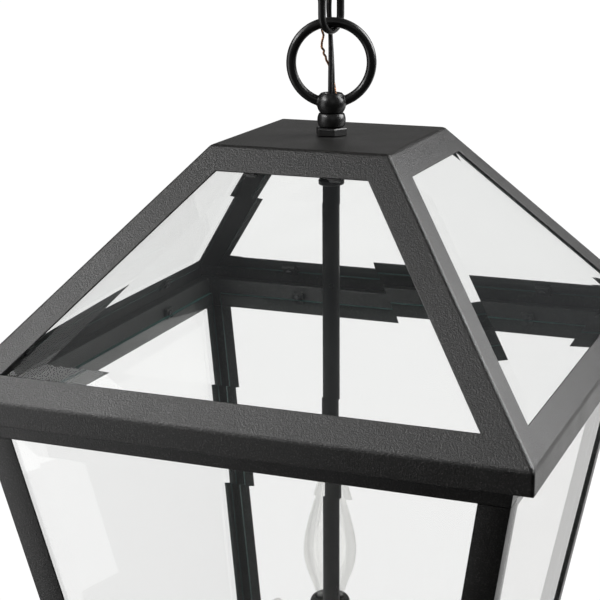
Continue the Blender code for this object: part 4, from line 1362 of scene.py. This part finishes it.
def seen_backdrop(t):
    """1 for what is seen directly or straight through glass, where the backdrop is plain white."""
    path = t.add("ShaderNodeLightPath").outputs
    seen = t.math("MAXIMUM", path["Is Camera Ray"], path["Is Transmission Ray"])
    bounced = t.math("ADD", path["Diffuse Depth"], path["Glossy Depth"])
    return t.math("MULTIPLY", seen, t.math("LESS_THAN", bounced, 0.5))


def render_settings(scene):
    """Plain colours, and enough bounces for glass behind glass."""
    scene.view_settings.view_transform = "Standard"
    scene.view_settings.look = "None"
    cycles = scene.cycles
    cycles.max_bounces, cycles.transmission_bounces = 16, 12
    cycles.transparent_max_bounces, cycles.glossy_bounces = 16, 6
    cycles.caustics_reflective = cycles.caustics_refractive = False
    cycles.sample_clamp_indirect = 4.0


def backdrop(scene):
    """White where it is seen, and the studio's soft light for everything else."""
    world = bpy.data.worlds.new("studio")
    scene.world = world
    world.use_nodes = True
    t = Tree(world.node_tree)
    direction = t.add("ShaderNodeTexCoord").outputs["Generated"]
    strength = studio_light(t, direction)
    soft = t.add("ShaderNodeBackground", {"Color": (1.0, 0.995, 0.985), "Strength": strength}).outputs[0]
    white = t.add("ShaderNodeBackground", {"Color": (1.0, 1.0, 1.0), "Strength": WHITE}).outputs[0]
    t.put(t.tree.nodes["World Output"].inputs["Surface"], t.mixed(seen_backdrop(t), soft, white))


def floor():
    """A pale floor well below the lantern, as white as the backdrop."""
    corners = ((-1, -1), (1, -1), (1, 1), (-1, 1))
    slab = [[(x * 6, y * 6, z) for x, y in corners] for z in (-1.62, -1.60)]
    made = loose("studio_floor", loft("floor", slab))
    n = Nodes("pale_floor")
    n.set(Base_Color=(0.8, 0.8, 0.8), Roughness=0.9)
    glow = n.add("ShaderNodeEmission", {"Color": (1.0, 1.0, 1.0), "Strength": WHITE}).outputs[0]
    n.put(n.output.inputs["Surface"], n.mixed(seen_backdrop(n), n.shader.outputs[0], glow))
    made.data.materials.append(n.material)
    made.visible_shadow = made.visible_diffuse = made.visible_glossy = False
    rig.stage(made)


def softbox(name, azimuth, elevation, distance, width, height, brightness):
    """An area lamp that faces the lantern's middle and isn't seen itself."""
    a, e = radians(azimuth), radians(elevation)
    back = Vector((sin(a) * cos(e), -cos(a) * cos(e), sin(e)))
    lamp = bpy.data.lights.new(name, "AREA")
    lamp.shape = "RECTANGLE"
    lamp.size, lamp.size_y = width, height
    lamp.energy = brightness * width * height * pi
    holder = loose(name, lamp)
    holder.location = LIT_MIDDLE + back * distance
    holder.rotation_euler = back.to_track_quat("Z", "Y").to_euler()
    holder.visible_camera = holder.visible_transmission = False


def studio():
    """The plain white studio round the lantern."""
    render_settings(bpy.context.scene)
    backdrop(bpy.context.scene)
    floor()
    for box in SOFTBOXES:
        softbox(*box)


def camera():
    """The photograph's viewpoint: in front, turned to the right and a little above the eave."""
    azimuth, elevation, roll = radians(21.87), radians(14.74), radians(-0.40)
    back = Vector((sin(azimuth) * cos(elevation), -cos(azimuth) * cos(elevation), sin(elevation)))
    right = Vector((cos(azimuth), sin(azimuth), 0))
    up = back.cross(right)
    level_right = right * cos(roll) + up * sin(roll)
    level_up = up * cos(roll) - right * sin(roll)
    data = bpy.data.cameras.new("camera")
    data.sensor_width, data.lens = 36.0, 96.43
    data.clip_start, data.clip_end = 0.05, 50
    made = loose("camera", data)
    place = Matrix((level_right, level_up, back)).transposed().to_4x4()
    place.translation = Vector((0.32904, -0.87092, EAVE + 0.27391))
    made.matrix_world = place
    bpy.context.scene.camera = made


camera()
studio()
cords()
roof()
roof_panes()
body_frame()
body_panes()
clips()
loops()
chain_links()
plate_hardware()
canopy_set()
candle_cluster()

size = {"cad": [list(corner) for corner in cad_box], "visual": [list(corner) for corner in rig.bounds()]}
with open("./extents.json", "w") as out:
    json.dump(size, out)
